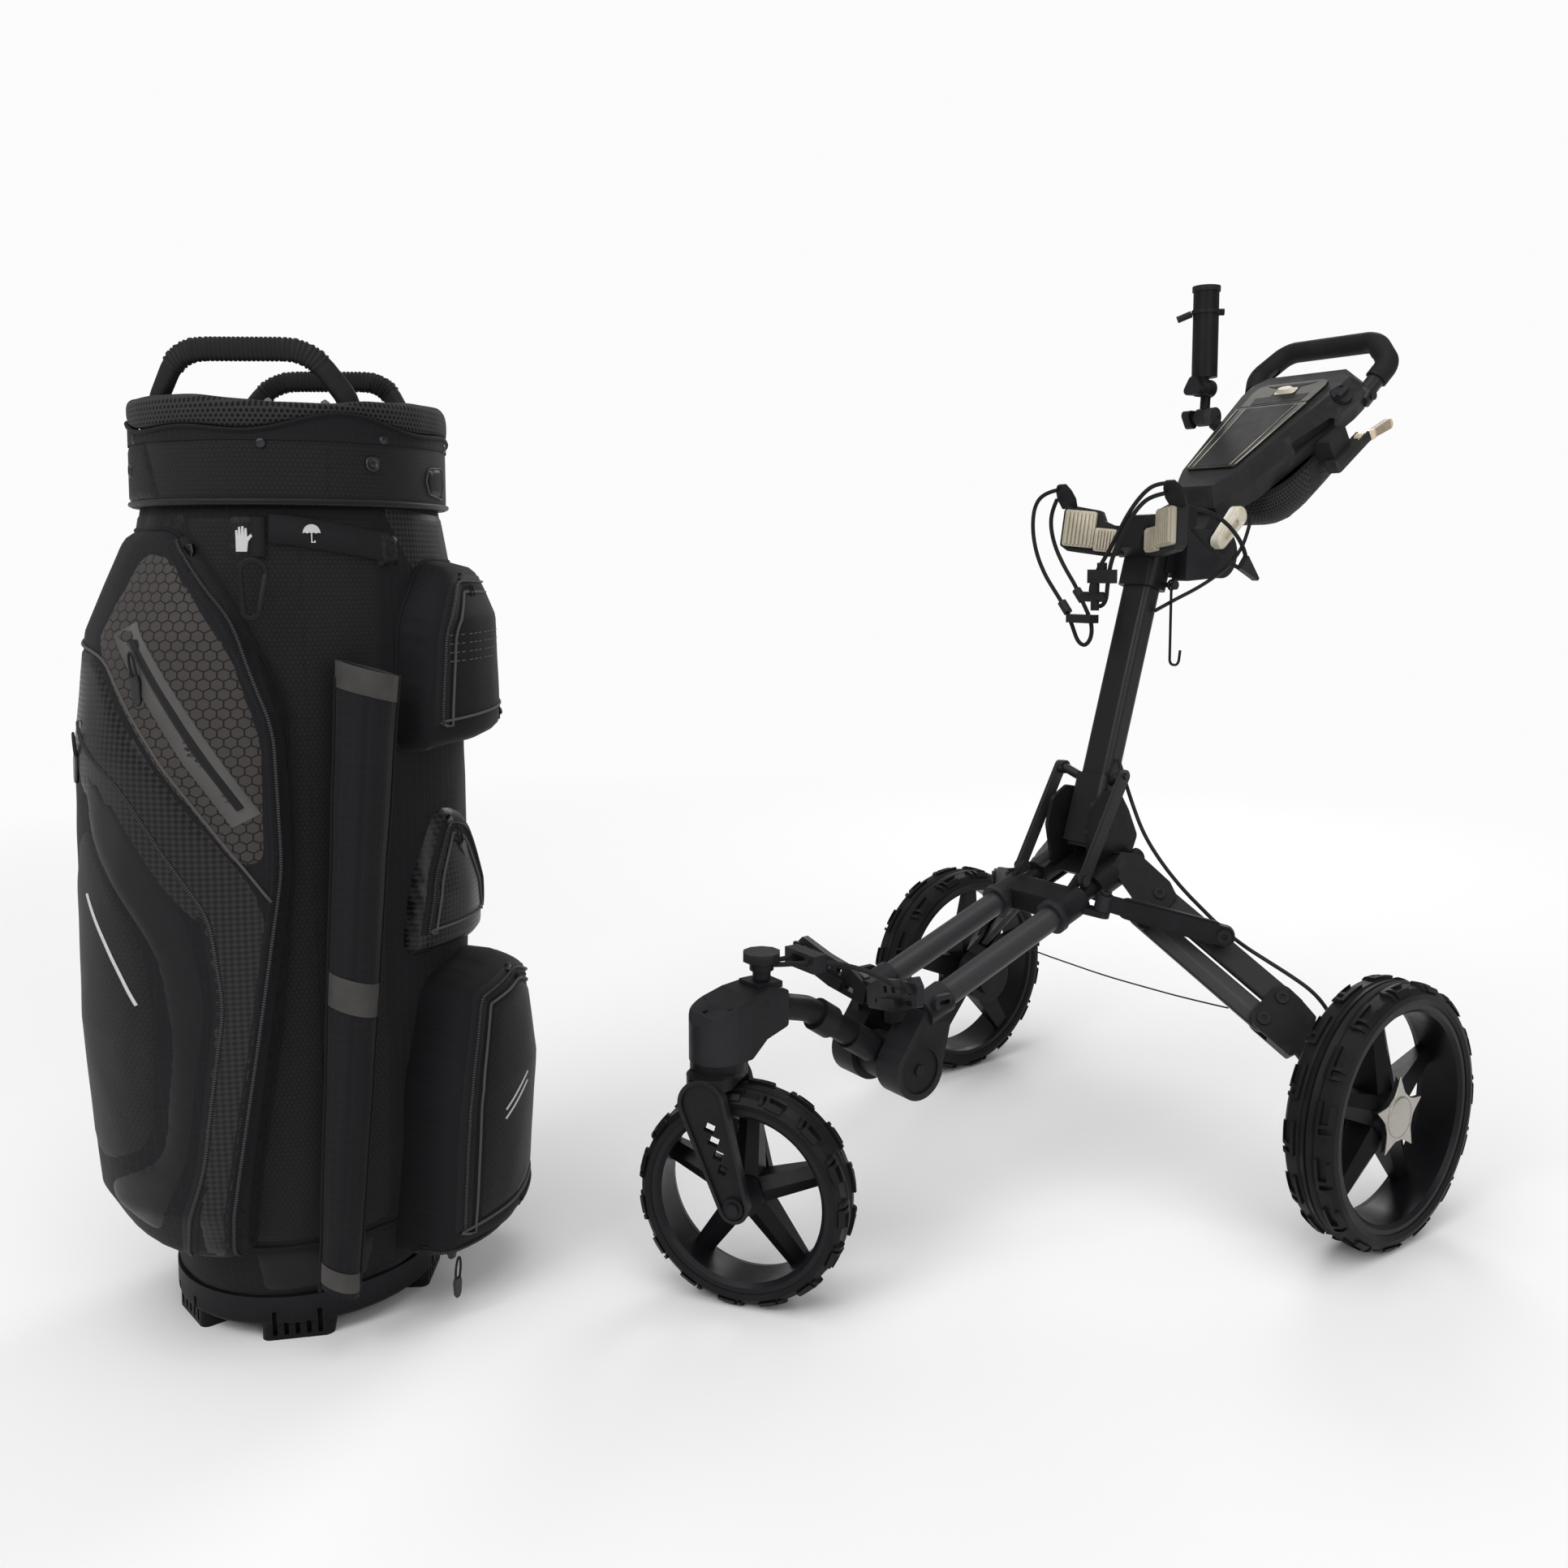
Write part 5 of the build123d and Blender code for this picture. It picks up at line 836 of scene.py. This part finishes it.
for name, cover, deep in (("upper", upper, 20), ("middle", middle_cover, 14), ("ball", ball, 22)):
    ring = inset(cover.outline, deep)
    low = min(place.y for place in ring)
    arc = [place for place in ring if place.y > low + 10]
    first = max(range(len(arc)), key=lambda i: (arc[i] - arc[i - 1]).length)
    arc = arc[first:] + arc[:first]
    zipper(name + "_zip", cover, arc, 6.5)
    inner = inset(cover.outline, deep + 10)
    piping(name + "_inner_piping", cover, [p for p in inner if p.y > low + 8], 1.3,
           grey_piping, closed=True, lift=0.8)
    top = max(arc, key=lambda place: place.y)
    puller(name + "_puller_high", cover, top, -60, 26)
for z in (646, 638, 630, 622):
    stitching("upper_dashes_" + str(z), upper, route(upper, ((116, z), (180, z + 2)), 2, 3), 1.4)
patch("ball_face", ball, inset(ball.outline, 36), 1.2, micro_cloth, "bag_nylon")
for shift in (0, 9):
    strip("ball_bar_" + str(shift), ball, route(ball, (
        (168, 190 - shift), (196, 214 - shift))), 1.6, 1.8, pale_print)
strip("rain_bar", ball, route(ball, ((184, 98), (200, 112))), 1.3, 1.8, grey_strip)
zipper("rain_zip", ball, [Vector((s, 68)) for s in range(
    int(ball.flat(100, 68).x), int(ball.flat(200, 68).x), 7)], 5)
puller("rain_puller", ball, ball.flat(118, 66), -90, 24)


# --- Putter sleeve -----------------------------------------------------------------
SLEEVE_LOW, SLEEVE_HIGH = 60.0, 628.0


def sleeve_point(angle, z, lift=0.0):
    share = (z - SLEEVE_LOW) / (SLEEVE_HIGH - SLEEVE_LOW)
    x, y, reach = 14 + 36 * share, -160 - 6 * share, 17 + 10 * share + lift
    swell = 0.7 * noise.noise(Vector((math.cos(angle), math.sin(angle), z / 60)))
    front = -math.cos(angle)
    return bag(x + (reach + swell) * math.sin(angle), y + (reach + swell) * front, z)


def sleeve_ring(name, low, high, slant, lift, material, wall=0.0, sides=32):
    """A tube of cloth round the sleeve between two slanting edges."""
    rows = max(2, round((high - low) / 8))
    points, uvs = [], []
    levels = [(row, lift) for row in range(rows + 1)]
    if wall:
        levels += [(row, lift - wall) for row in reversed(range(rows + 1))]
    for row, rise in levels:
        for index in range(sides):
            angle = 2 * math.pi * index / sides
            z = low + (high - low) * row / rows - slant * math.sin(angle)
            points.append(sleeve_point(angle, min(z, SLEEVE_HIGH + 1), rise))
            uvs.append((angle * 22 * MM, z * MM))
    return piece(name, points, ring_faces(len(levels), sides), "bag", material, "bag_nylon", uvs)


sleeve = sleeve_ring("putter_tube", SLEEVE_LOW, SLEEVE_HIGH - 8, 8, 0.0, ripstop, 3.2)
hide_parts("putter_sleeve")
for name, low, high in (("top", 598, 621), ("middle", 318, 348), ("foot", 66, 84)):
    sleeve_ring("sleeve_band_" + name, low, high, 8, 0.7, grey_strip)
for side in (-1, 1):
    path = [sleeve_point(side * 1.35, z, 1.0) for z in range(64, 618, 10)]
    tube("sleeve_seam_" + ("right" if side > 0 else "left"), path, 1.3 * MM, "bag", nylon,
         "bag_nylon", 6)

# --- Cuff, rim pad, dividers and handles --------------------------------------------
cuff_cover = Cover(((760, 0, 0, 142, 142), (766, 0, 0, 143, 143), (822, 0, 0, 143, 143)),
                   folds=0.5, seed=7)
made = band("cuff_shell", cuff_cover, 762.5, 824, micro_cloth, "bag_nylon", 10)
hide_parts("bag_cuff")
piping("cuff_piping", cuff_cover, all_round(765.5), 2.4, satin_cloth, closed=True, lift=0.4)
patch("cuff_leather", cuff_cover, rounded([Vector(p) for p in (
    (-236, 768), (-138, 768), (-160, 819), (-230, 819))], 8), 1.2, leather, "bag_nylon")
stitching("cuff_seam", cuff_cover, route(cuff_cover, ((20, 770), (20, 818)), 1, 5), 0.8,
          material=webbing)
badge = [Vector(p) for p in ((142, 776), (172, 772), (180, 787), (172, 802), (142, 800),
                             (136, 788))]
patch("cuff_badge", cuff_cover, rounded(badge, 3, 3), 1.6, rim_plastic, "bag_nylon", 4)
piping("badge_rim", cuff_cover, rounded(badge, 3, 3), 0.8, grey_strip, closed=True, lift=1.2)


def rim_low(s):
    """The pad's wavy lower edge."""
    return 832 + 6 * math.sin(s / 47 + 0.6) + 4 * math.sin(s / 23)


PAD_PROFILE = ((143.4, 0.0), (144.6, 0.25), (145.0, 0.55), (144.2, 0.8), (141.5, 0.95),
               (137.5, 1.0), (134.0, 0.95), (131.6, 0.8), (130.8, 0.55), (131.0, 0.25),
               (131.5, 0.0))
pad_points, pad_uvs = [], []
PAD_AROUND = 160
for radius, share in PAD_PROFILE:
    for index in range(PAD_AROUND):
        s = (index / PAD_AROUND * 2 - 1) * math.pi * ROUND
        base = rim_low(s) if radius > 137 else 838
        dip = 9 * abs(math.cos(s / ROUND)) ** 6
        top = RIM_TOP - dip + 1.6 * noise.noise(Vector((s / 40, 0, 4)))
        z = base + (top - base) * share
        puff = 0.8 * noise.noise(Vector((s / 26, z / 20, 1)))
        turn = s / ROUND
        pad_points.append(bag((radius + puff) * math.sin(turn), -(radius + puff)
                              * math.cos(turn), z))
        pad_uvs.append((s * MM, (z + radius) * MM))
pad_faces = ring_faces(len(PAD_PROFILE), PAD_AROUND)
last = (len(PAD_PROFILE) - 1) * PAD_AROUND
pad_faces += [(last + i, last + (i + 1) % PAD_AROUND, (i + 1) % PAD_AROUND, i)
              for i in range(PAD_AROUND)]
pad = piece("rim_padding", pad_points, pad_faces, "bag", air_mesh, "mesh_black", pad_uvs)
pad.modifiers.new("round", "SUBSURF").render_levels = 1
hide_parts("rim_pad")
rim_cover = Cover(((800, 0, 0, 143.5, 143.5), (860, 0, 0, 143.5, 143.5)), folds=0.3, seed=8)
seam_line = [Vector((place.x, rim_low(place.x))) for place in all_round(0, 6)]
piping("rim_seam", rim_cover, seam_line, 1.9, nylon, closed=True, lift=0.8)
edge_points, edge_uvs = [], []
COLLAR_LOW = 818
for share in (0.0, 0.5, 1.0):
    for s, top in seam_line:
        z = COLLAR_LOW + (top + 2 - COLLAR_LOW) * share
        edge_points.append(rim_cover.point((s, z), 0.4))
        edge_uvs.append((s * MM, z * MM))
piece("rim_collar", edge_points, ring_faces(3, len(seam_line)), "bag", ripstop, "bag_nylon",
      edge_uvs)


def stud(name, s, z, radius, material, ring=False):
    """A domed rivet, or a snap ring round a hollow."""
    origin = cuff_cover.point((s, z), -1.0)
    out = cuff_cover.point((s, z), 10) - origin
    if ring:
        profile = ((0, radius), (2.4, radius), (3.0, radius - 0.7), (3.0, radius * 0.62),
                   (2.0, radius * 0.55), (2.2, radius * 0.3), (2.6, 0.2))
    else:
        profile = ((0, radius), (1.6, radius), (2.6, radius * 0.9), (3.4, radius * 0.6),
                   (3.8, 0.2))
    turned(name, origin, out, profile, "bag", material, "fitting_black", 24)


for index, (s, z) in enumerate(((-186, 828), (-34, 815), (78, 832), (186, 822))):
    stud("cuff_stud_" + str(index), s, min(z, 822), 4.4, chrome_dark)
for index, (s, z) in enumerate(((66, 800), (-204, 796), (300, 800))):
    stud("cuff_snap_" + str(index), s, z, 7.2, chrome_dark, True)

DIVIDER_REACH = 128.0
divider_rows = []
for y in (-64.5, 0.0, 64.5):
    half = math.sqrt(DIVIDER_REACH ** 2 - y ** 2) - 3
    divider_rows.append(((-half, y), (half, y)))
for rows_y, columns in (((-129, -66.5), (-24, 24)), ((-62.5, -2), (-58, 0, 58)),
                        ((2, 62.5), (-58, 0, 58)), ((66.5, 129), (-24, 24))):
    for x in columns:
        limit = math.sqrt(DIVIDER_REACH ** 2 - x ** 2) - 3
        divider_rows.append(((x, max(rows_y[0], -limit)), (x, min(rows_y[1], limit))))
wall_points, wall_faces, wall_uvs = [], [], []
for start, finish in divider_rows:
    start, finish = Vector(start), Vector(finish)
    along = (finish - start).normalized()
    across = Vector((-along.y, along.x))
    length = (finish - start).length
    steps = max(4, round(length / 10))
    profile = ((-1.8, 560), (-1.8, 780), (-1.8, 838), (-3.4, 845), (-3.0, 850), (0, 852),
               (3.0, 850), (3.4, 845), (1.8, 838), (1.8, 780), (1.8, 560))
    first = len(wall_points)
    for step in range(steps + 1):
        share = step / steps
        sag = -7 * math.sin(math.pi * share)
        sway = 2.0 * noise.noise(Vector((start.x + share * 4, start.y, 2)))
        for offset, z in profile:
            place = start + along * (length * share) + across * (offset + sway * (z > 700))
            drop = sag if z > 800 else 0
            wall_points.append(bag(place.x, place.y, z - drop))
            wall_uvs.append((length * share * MM, z * MM))
    columns = len(profile)
    wall_faces += [tuple(first + corner for corner in face)
                   for face in ring_faces(steps + 1, columns, closed=False)]
made = piece("divider_walls", wall_points, wall_faces, "bag", grey_mesh, "divider_grey", wall_uvs)
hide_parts("bag_dividers")
lining = Cover(((500, 0, 0, 129, 129), (850, 0, 0, 130, 130)), folds=0.6, seed=9)
band("divider_lining", lining, 600, 852, grey_mesh, "divider_grey", 1.5)


def handle(name, turn):
    """A moulded arch: flat legs and a ribbed top."""
    corners = [Vector(p) for p in ((-117, -56, 840), (-115, -60, 856), (-96, -84, 899),
                                   (10, -122, 899), (42, -122, 858), (45, -121, 840))]
    line = rounded(corners, 22, 1.0, closed=False)
    points, uvs = [], []
    sides = 16
    run = 0.0
    for index, place in enumerate(line):
        after, before = line[min(index + 1, len(line) - 1)], line[max(index - 1, 0)]
        along = (after - before).normalized()
        out = Vector((place.x, place.y, 0)).normalized()
        out = (out - along * out.dot(along)).normalized()
        across = along.cross(out)
        ribbed = place.z > 884
        swell = 1.1 if ribbed and index // 2 % 2 else 0.0
        for step in range(sides):
            angle = 2 * math.pi * step / sides
            wide, deep = squared(angle, 0.62)
            spot = place + across * (wide * (9.6 + swell)) + out * (deep * (6.1 + swell))
            local = Matrix.Rotation(turn, 3, "Z") @ spot
            points.append(bag(*local))
            uvs.append((run * MM, angle * 9 * MM))
        run += (after - place).length
    faces = ring_faces(len(line), sides)
    faces += [tuple(range(sides)), tuple(range((len(line) - 1) * sides, len(line) * sides))]
    return piece(name, points, faces, "bag", grip_foam, "handle_black", uvs)


front_handle = handle("handle_front", 0.0)
handle("handle_rear", math.pi)
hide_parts("bag_handles")

# Umbrella strap, glove patch and side ring.
strap_line = rounded([Vector(p) for p in ((-30, 742), (-12, 741), (40, 733), (84, 726))], 20, 6,
                     closed=False)
strip("umbrella_strap", body_cover, strap_line, 13, 4.5, webbing, drop=1.4)
patch("strap_end", body_cover, rounded([Vector(p) for p in (
    (72, 708), (98, 710), (98, 738), (72, 740))], 4, 4), 6.0, leather, "bag_nylon", 5)
patch("glove_patch", body_cover, rounded([Vector(p) for p in (
    (-70, 716), (-38, 713), (-38, 754), (-70, 754))], 4, 4), 2.6, leather, "bag_nylon", 5)


def icon(name, place, outline, size, lift):
    """A small flat pictogram on the cloth."""
    flat = [Vector((place[0] + x * size, place[1] + y * size)) for x, y in outline]
    points = [body_cover.point(spot, rise) for rise in (lift - 1.6, lift) for spot in flat]
    faces = [tuple(range(len(flat))), tuple(range(len(flat), 2 * len(flat)))]
    piece(name, points, faces + ring_faces(2, len(flat)), "bag", pale_print, "bag_nylon",
          smooth=False)


dome = [(math.cos(math.radians(a)), math.sin(math.radians(a))) for a in range(0, 181, 20)]
scallops = [(-1 + 0.25 * i, -0.02 + (0.12 if i % 2 else 0.0)) for i in range(1, 8)]
icon("umbrella_icon", (8, 738), dome + scallops, 8, 6.0)
icon("umbrella_stick", (8, 738), ((-0.06, 0), (0.06, 0), (0.06, -0.9), (0.3, -0.9), (0.3, -0.75),
                                  (0.42, -0.75), (0.42, -1.02), (-0.06, -1.02)), 8, 6.0)
hand = [(-0.5, -1), (0.4, -1), (0.5, -0.2), (0.85, 0.2), (0.75, 0.4), (0.42, 0.15), (0.38, 0.85),
        (0.22, 0.85), (0.18, 0.2), (0.12, 1.0), (-0.04, 1.0), (-0.08, 0.2), (-0.16, 0.95),
        (-0.32, 0.92), (-0.3, 0.15), (-0.4, 0.7), (-0.55, 0.66), (-0.52, -0.2)]
icon("glove_icon", (-54, 733), hand, 11, 4.0)
ring_place = body_cover.flat(-140, 744, 70)
ring_path = [body_cover.point(ring_place + Vector((9 * math.cos(a), 11 * math.sin(a) - 12)), 5)
             for a in [2 * math.pi * i / 24 for i in range(24)]]
tube("side_ring", ring_path, 1.6 * MM, "bag", chrome_dark, "fitting_black", 8, closed=True)
strip("side_ring_strap", body_cover, [ring_place + Vector((0, d)) for d in (12, 4, -4)], 9, 6,
      webbing)
hanger = [Vector((-40, z)) for z in (752, 740, 728, 718)]
strip("clip_strap", body_cover, hanger, 7, 4.0, webbing)

# --- Console pouch --------------------------------------------------------------------
CONSOLE_TILT = math.radians(34)
RUN = Vector((0, math.cos(CONSOLE_TILT), math.sin(CONSOLE_TILT)))
UP = Vector((0, -math.sin(CONSOLE_TILT), math.cos(CONSOLE_TILT)))
X_AXIS = Vector((1, 0, 0))


def on_console(x, run, up):
    spot = Vector((x, 106, 823)) + RUN * run + UP * up
    return cart(*spot)


pouch_rings = ((-50.6, 65, 27, 221), (-62, 66, 23, 220), (-78, 64.5, 20, 218), (-92, 59, 28, 213),
               (-104, 50, 40, 206), (-113, 38, 56, 194), (-118, 24, 78, 172), (-119, 8, 110, 140))
pouch_points, pouch_uvs = [], []
POUCH_AROUND = 72
for up, half, front, rear in pouch_rings:
    for index in range(POUCH_AROUND):
        angle = 2 * math.pi * index / POUCH_AROUND
        wide, long = squared(angle, 0.55)
        wide, long = wide * half, long * (rear - front) / 2
        fold = 1.6 * noise.noise(Vector((math.cos(angle) * 3, math.sin(angle) * 3, up / 24)))
        run = (front + rear) / 2 + long * (1 - abs(fold) * 0.02)
        pouch_points.append(on_console(wide - fold * 0.6, run, up + min(0, fold)))
        pouch_uvs.append((angle * 70 * MM, up * MM))
pouch_faces = ring_faces(len(pouch_rings), POUCH_AROUND)
pouch_faces.append(tuple(range((len(pouch_rings) - 1) * POUCH_AROUND,
                               len(pouch_rings) * POUCH_AROUND)))
made = piece("pouch_net", pouch_points, pouch_faces, "console", air_mesh, "mesh_black", pouch_uvs)
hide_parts("console_pouch")
hem = []
for index in range(POUCH_AROUND):
    wide, long = squared(2 * math.pi * index / POUCH_AROUND, 0.55)
    hem.append(on_console(wide * 65.5, 124 + long * 97, -53))
tube("pouch_hem", hem, 2.0 * MM, "console", nylon, "mesh_black", 8, closed=True)

# --- Trims on the cart ------------------------------------------------------------------
LID_FACE = 2.2
slab("lid_centre", on_console(0, 0, LID_FACE - 0.3), X_AXIS, RUN, (
    (-26, 12), (26, 12), (36, 156), (-36, 156)), 1.0, "lid", console_plastic, "lid_bronze", 0.4)
slab("lid_head", on_console(0, 0, LID_FACE - 0.3), X_AXIS, RUN, (
    (-36.5, 165), (36.5, 165), (39, 183), (18, 183), (16, 204), (36, 212), (-36, 212), (-16, 204),
    (-18, 183), (-39, 183)), 1.0, "lid", console_plastic, "lid_bronze", 0.4)
for side, label in ((-1, "right"), (1, "left")):
    for name, near, far, thick in (("inner", 27, 37, 0.7), ("outer", 34.6, 50.5, 0.9)):
        line = [on_console(side * near, 12, LID_FACE + 0.5), on_console(side * far, 156,
                                                                       LID_FACE + 0.5)]
        tube("lid_line_" + name + "_" + label, line, thick * MM, "lid", silver, "lid_bronze", 8)


def hub_star(name, centre, outward, body):
    """The satin five-pointed hub trim with hollow sides."""
    outline = []
    tip, waist, steps = 43.0, 25.0, 80
    for index in range(steps):
        angle = 2 * math.pi * index / steps
        flare = abs(1 - 2 * ((5 * (angle / (2 * math.pi) - 0.05)) % 1)) ** 3
        reach = waist + (tip - waist) * flare
        outline.append((outward * reach * math.cos(angle), reach * math.sin(angle)))
    origin = cart(*(centre + Vector((outward * 18.2, 0, 0))))
    slab(name, origin, Vector((0, outward, 0)), Vector((0, 0, 1)), outline, 1.6, body, silver,
         "rim_black", 0.6)
    turned(name + "_dome", origin + Vector((outward * 1.4 * MM, 0, 0)), (outward, 0, 0),
           ((0, 22), (0.8, 21.4), (1.2, 19), (1.9, 12), (2.1, 5), (2.1, 0.2)), body, silver,
           "rim_black", 48)


hub_star("hub_trim_left", Vector((318, 0, 140)), 1, "wheel_left")
hub_star("hub_trim_right", Vector((-318, 0, 140)), -1, "wheel_right")

# Moulded ears that hold the ends of the cords on the two cradles.
EAR = ((-11, 0), (11, 0), (13, 14), (10, 26), (5, 33), (-7, 33), (-12, 24), (-14, 12))
for side, label in ((1, "left"), (-1, "right")):
    slab("cord_ear_" + label, cart(side * 83, -49.5, 777), Vector((side, 0, 0)),
         Vector((0, -14, 23)), EAR, 5.0, "column", cast_plastic,
         "cast_black", 1.2)
    turned("cord_end_" + label, cart(side * 89.5, -448, 291), (-side * 0.9, -6.5, 4.5),
           ((0, 4.6), (4, 4.6), (16, 3.8), (20, 2.4)), "frame", cast_plastic, "cast_black", 20)
slab("cord_ear_tab", cart(60, -35, 764), Vector((10, 24, 0)), Vector((0, 0, 1)), (
    (0, -15), (20, -15), (29, -11), (31, 0), (29, 11), (20, 14), (0, 14)), 5.0, "column",
    cast_plastic, "cast_black", 1.2)


for material, names in (
        (tyre_rubber, "rear_tyre_left rear_tyre_right front_tyre"),
        (rim_plastic, "rear_rim_left rear_rim_right front_rim"),
        (frame_paint,
         "frame_tubes column leg_bar_left leg_bar_right leg_rod_left leg_rod_right "
         "strut_left strut_right push_handle"),
        (cast_plastic,
         "hub_casting wheel_carrier_left wheel_carrier_right link_arm_left "
         "link_arm_right column_bracket fold_drum lower_cradle front_arm steering_head "
         "front_fork upper_cradle turn_knob umbrella_elbow umbrella_tube "
         "bungee_fittings lower_fittings"),
        (cream_rubber, "cradle_pads"),
        (console_plastic, "console_housing"),
        (bronze, "console_lid"),
        (cream_plastic, "lid_latch cam_lever"),
        (grip_foam, "handle_grip"),
        (beige_plastic, "brake_lever"),
        (wire_coat, "cord_hook"),
        (base_plastic, "bag_base"),
        (clip_metal, "carabiner")):
    for node in names.split():
        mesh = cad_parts[node].data
        mesh.materials.clear()
        mesh.materials.append(material)

# --- Floor, lights and camera -----------------------------------------------------------
WHITE = 0.97              # how bright the background and the far floor are
LIGHTING = 0.34           # how much the background lights the scene
FADE_FROM, FADE_TO = 1.3, 3.2   # metres from the middle, where the floor turns white
bpy.ops.mesh.primitive_plane_add(size=30, location=(0, 0, 0))
floor = bpy.context.object
floor.name = "studio_floor"
floor_paint = Paint("studio floor", (0.86, 0.86, 0.86), 0.85)
spread = floor_paint.node("ShaderNodeVectorMath", operation="LENGTH")
floor_paint.feed(spread.inputs[0], floor_paint.place)
fade = floor_paint.ramp(spread.outputs["Value"], FADE_FROM, FADE_TO)
floor_paint.tint(fade, (0, 0, 0))
floor_paint.feed(floor_paint.shader.inputs["Emission Color"], (1, 1, 1, 1))
floor_paint.feed(floor_paint.shader.inputs["Emission Strength"],
                 floor_paint.math("MULTIPLY", fade, WHITE))
floor_paint.shader.inputs["Specular IOR Level"].default_value = 0.0
floor.data.materials.append(floor_paint.bump(floor_paint.noise(60.0), 0.02, 0.1).done())

world = bpy.data.worlds.new("studio")
world.use_nodes = True
backdrop = world.node_tree.nodes["Background"]
backdrop.inputs["Color"].default_value = (1, 1, 1, 1)
light_path = world.node_tree.nodes.new("ShaderNodeLightPath")
glow = world.node_tree.nodes.new("ShaderNodeMapRange")
glow.inputs["To Min"].default_value = LIGHTING
glow.inputs["To Max"].default_value = WHITE
world.node_tree.links.new(light_path.outputs["Is Camera Ray"], glow.inputs["Value"])
world.node_tree.links.new(glow.outputs["Result"], backdrop.inputs["Strength"])
bpy.context.scene.world = world
bpy.context.scene.view_settings.view_transform = "Standard"


def soft_light(name, place, target, size, power):
    light = bpy.data.lights.new(name, "AREA")
    light.size = size
    light.energy = power
    made = bpy.data.objects.new(name, light)
    bpy.context.scene.collection.objects.link(made)
    made.location = place
    made.rotation_euler = (Vector(target) - Vector(place)).to_track_quat("-Z", "Y").to_euler()


aim = (0.0, 0.0, 0.5)
soft_light("key light", (0.6, -3.2, 2.6), aim, 1.6, 40)
soft_light("fill light", (3.4, -0.6, 1.8), aim, 2.0, 30)
soft_light("rim light", (-1.6, 2.8, 2.4), aim, 1.4, 35)
sun = bpy.data.lights.new("overhead light", "SUN")
sun.energy = 1.5
sun.angle = math.radians(60)
overhead = bpy.data.objects.new("overhead light", sun)
overhead.rotation_euler = (math.radians(14), math.radians(10), 0)
bpy.context.scene.collection.objects.link(overhead)

FRAME_PIXELS = 1932
FOCAL_PIXELS = 1700.0
AZIMUTH, PITCH = math.radians(54.6), math.radians(4.5)
camera_data = bpy.data.cameras.new("camera")
camera_data.sensor_width = 36.0
camera_data.lens = camera_data.sensor_width * FOCAL_PIXELS / FRAME_PIXELS
camera_data.shift_x = 0.013
camera_data.shift_y = -0.073
camera_data.clip_end = 60
camera = bpy.data.objects.new("camera", camera_data)
bpy.context.scene.collection.objects.link(camera)
back = Vector((math.sin(AZIMUTH) * math.cos(PITCH), -math.cos(AZIMUTH) * math.cos(PITCH),
               math.sin(PITCH)))
camera.location = cart(1087, -1340, 714)
camera.rotation_euler = back.to_track_quat("Z", "Y").to_euler()
bpy.context.scene.camera = camera

bpy.context.view_layer.update()
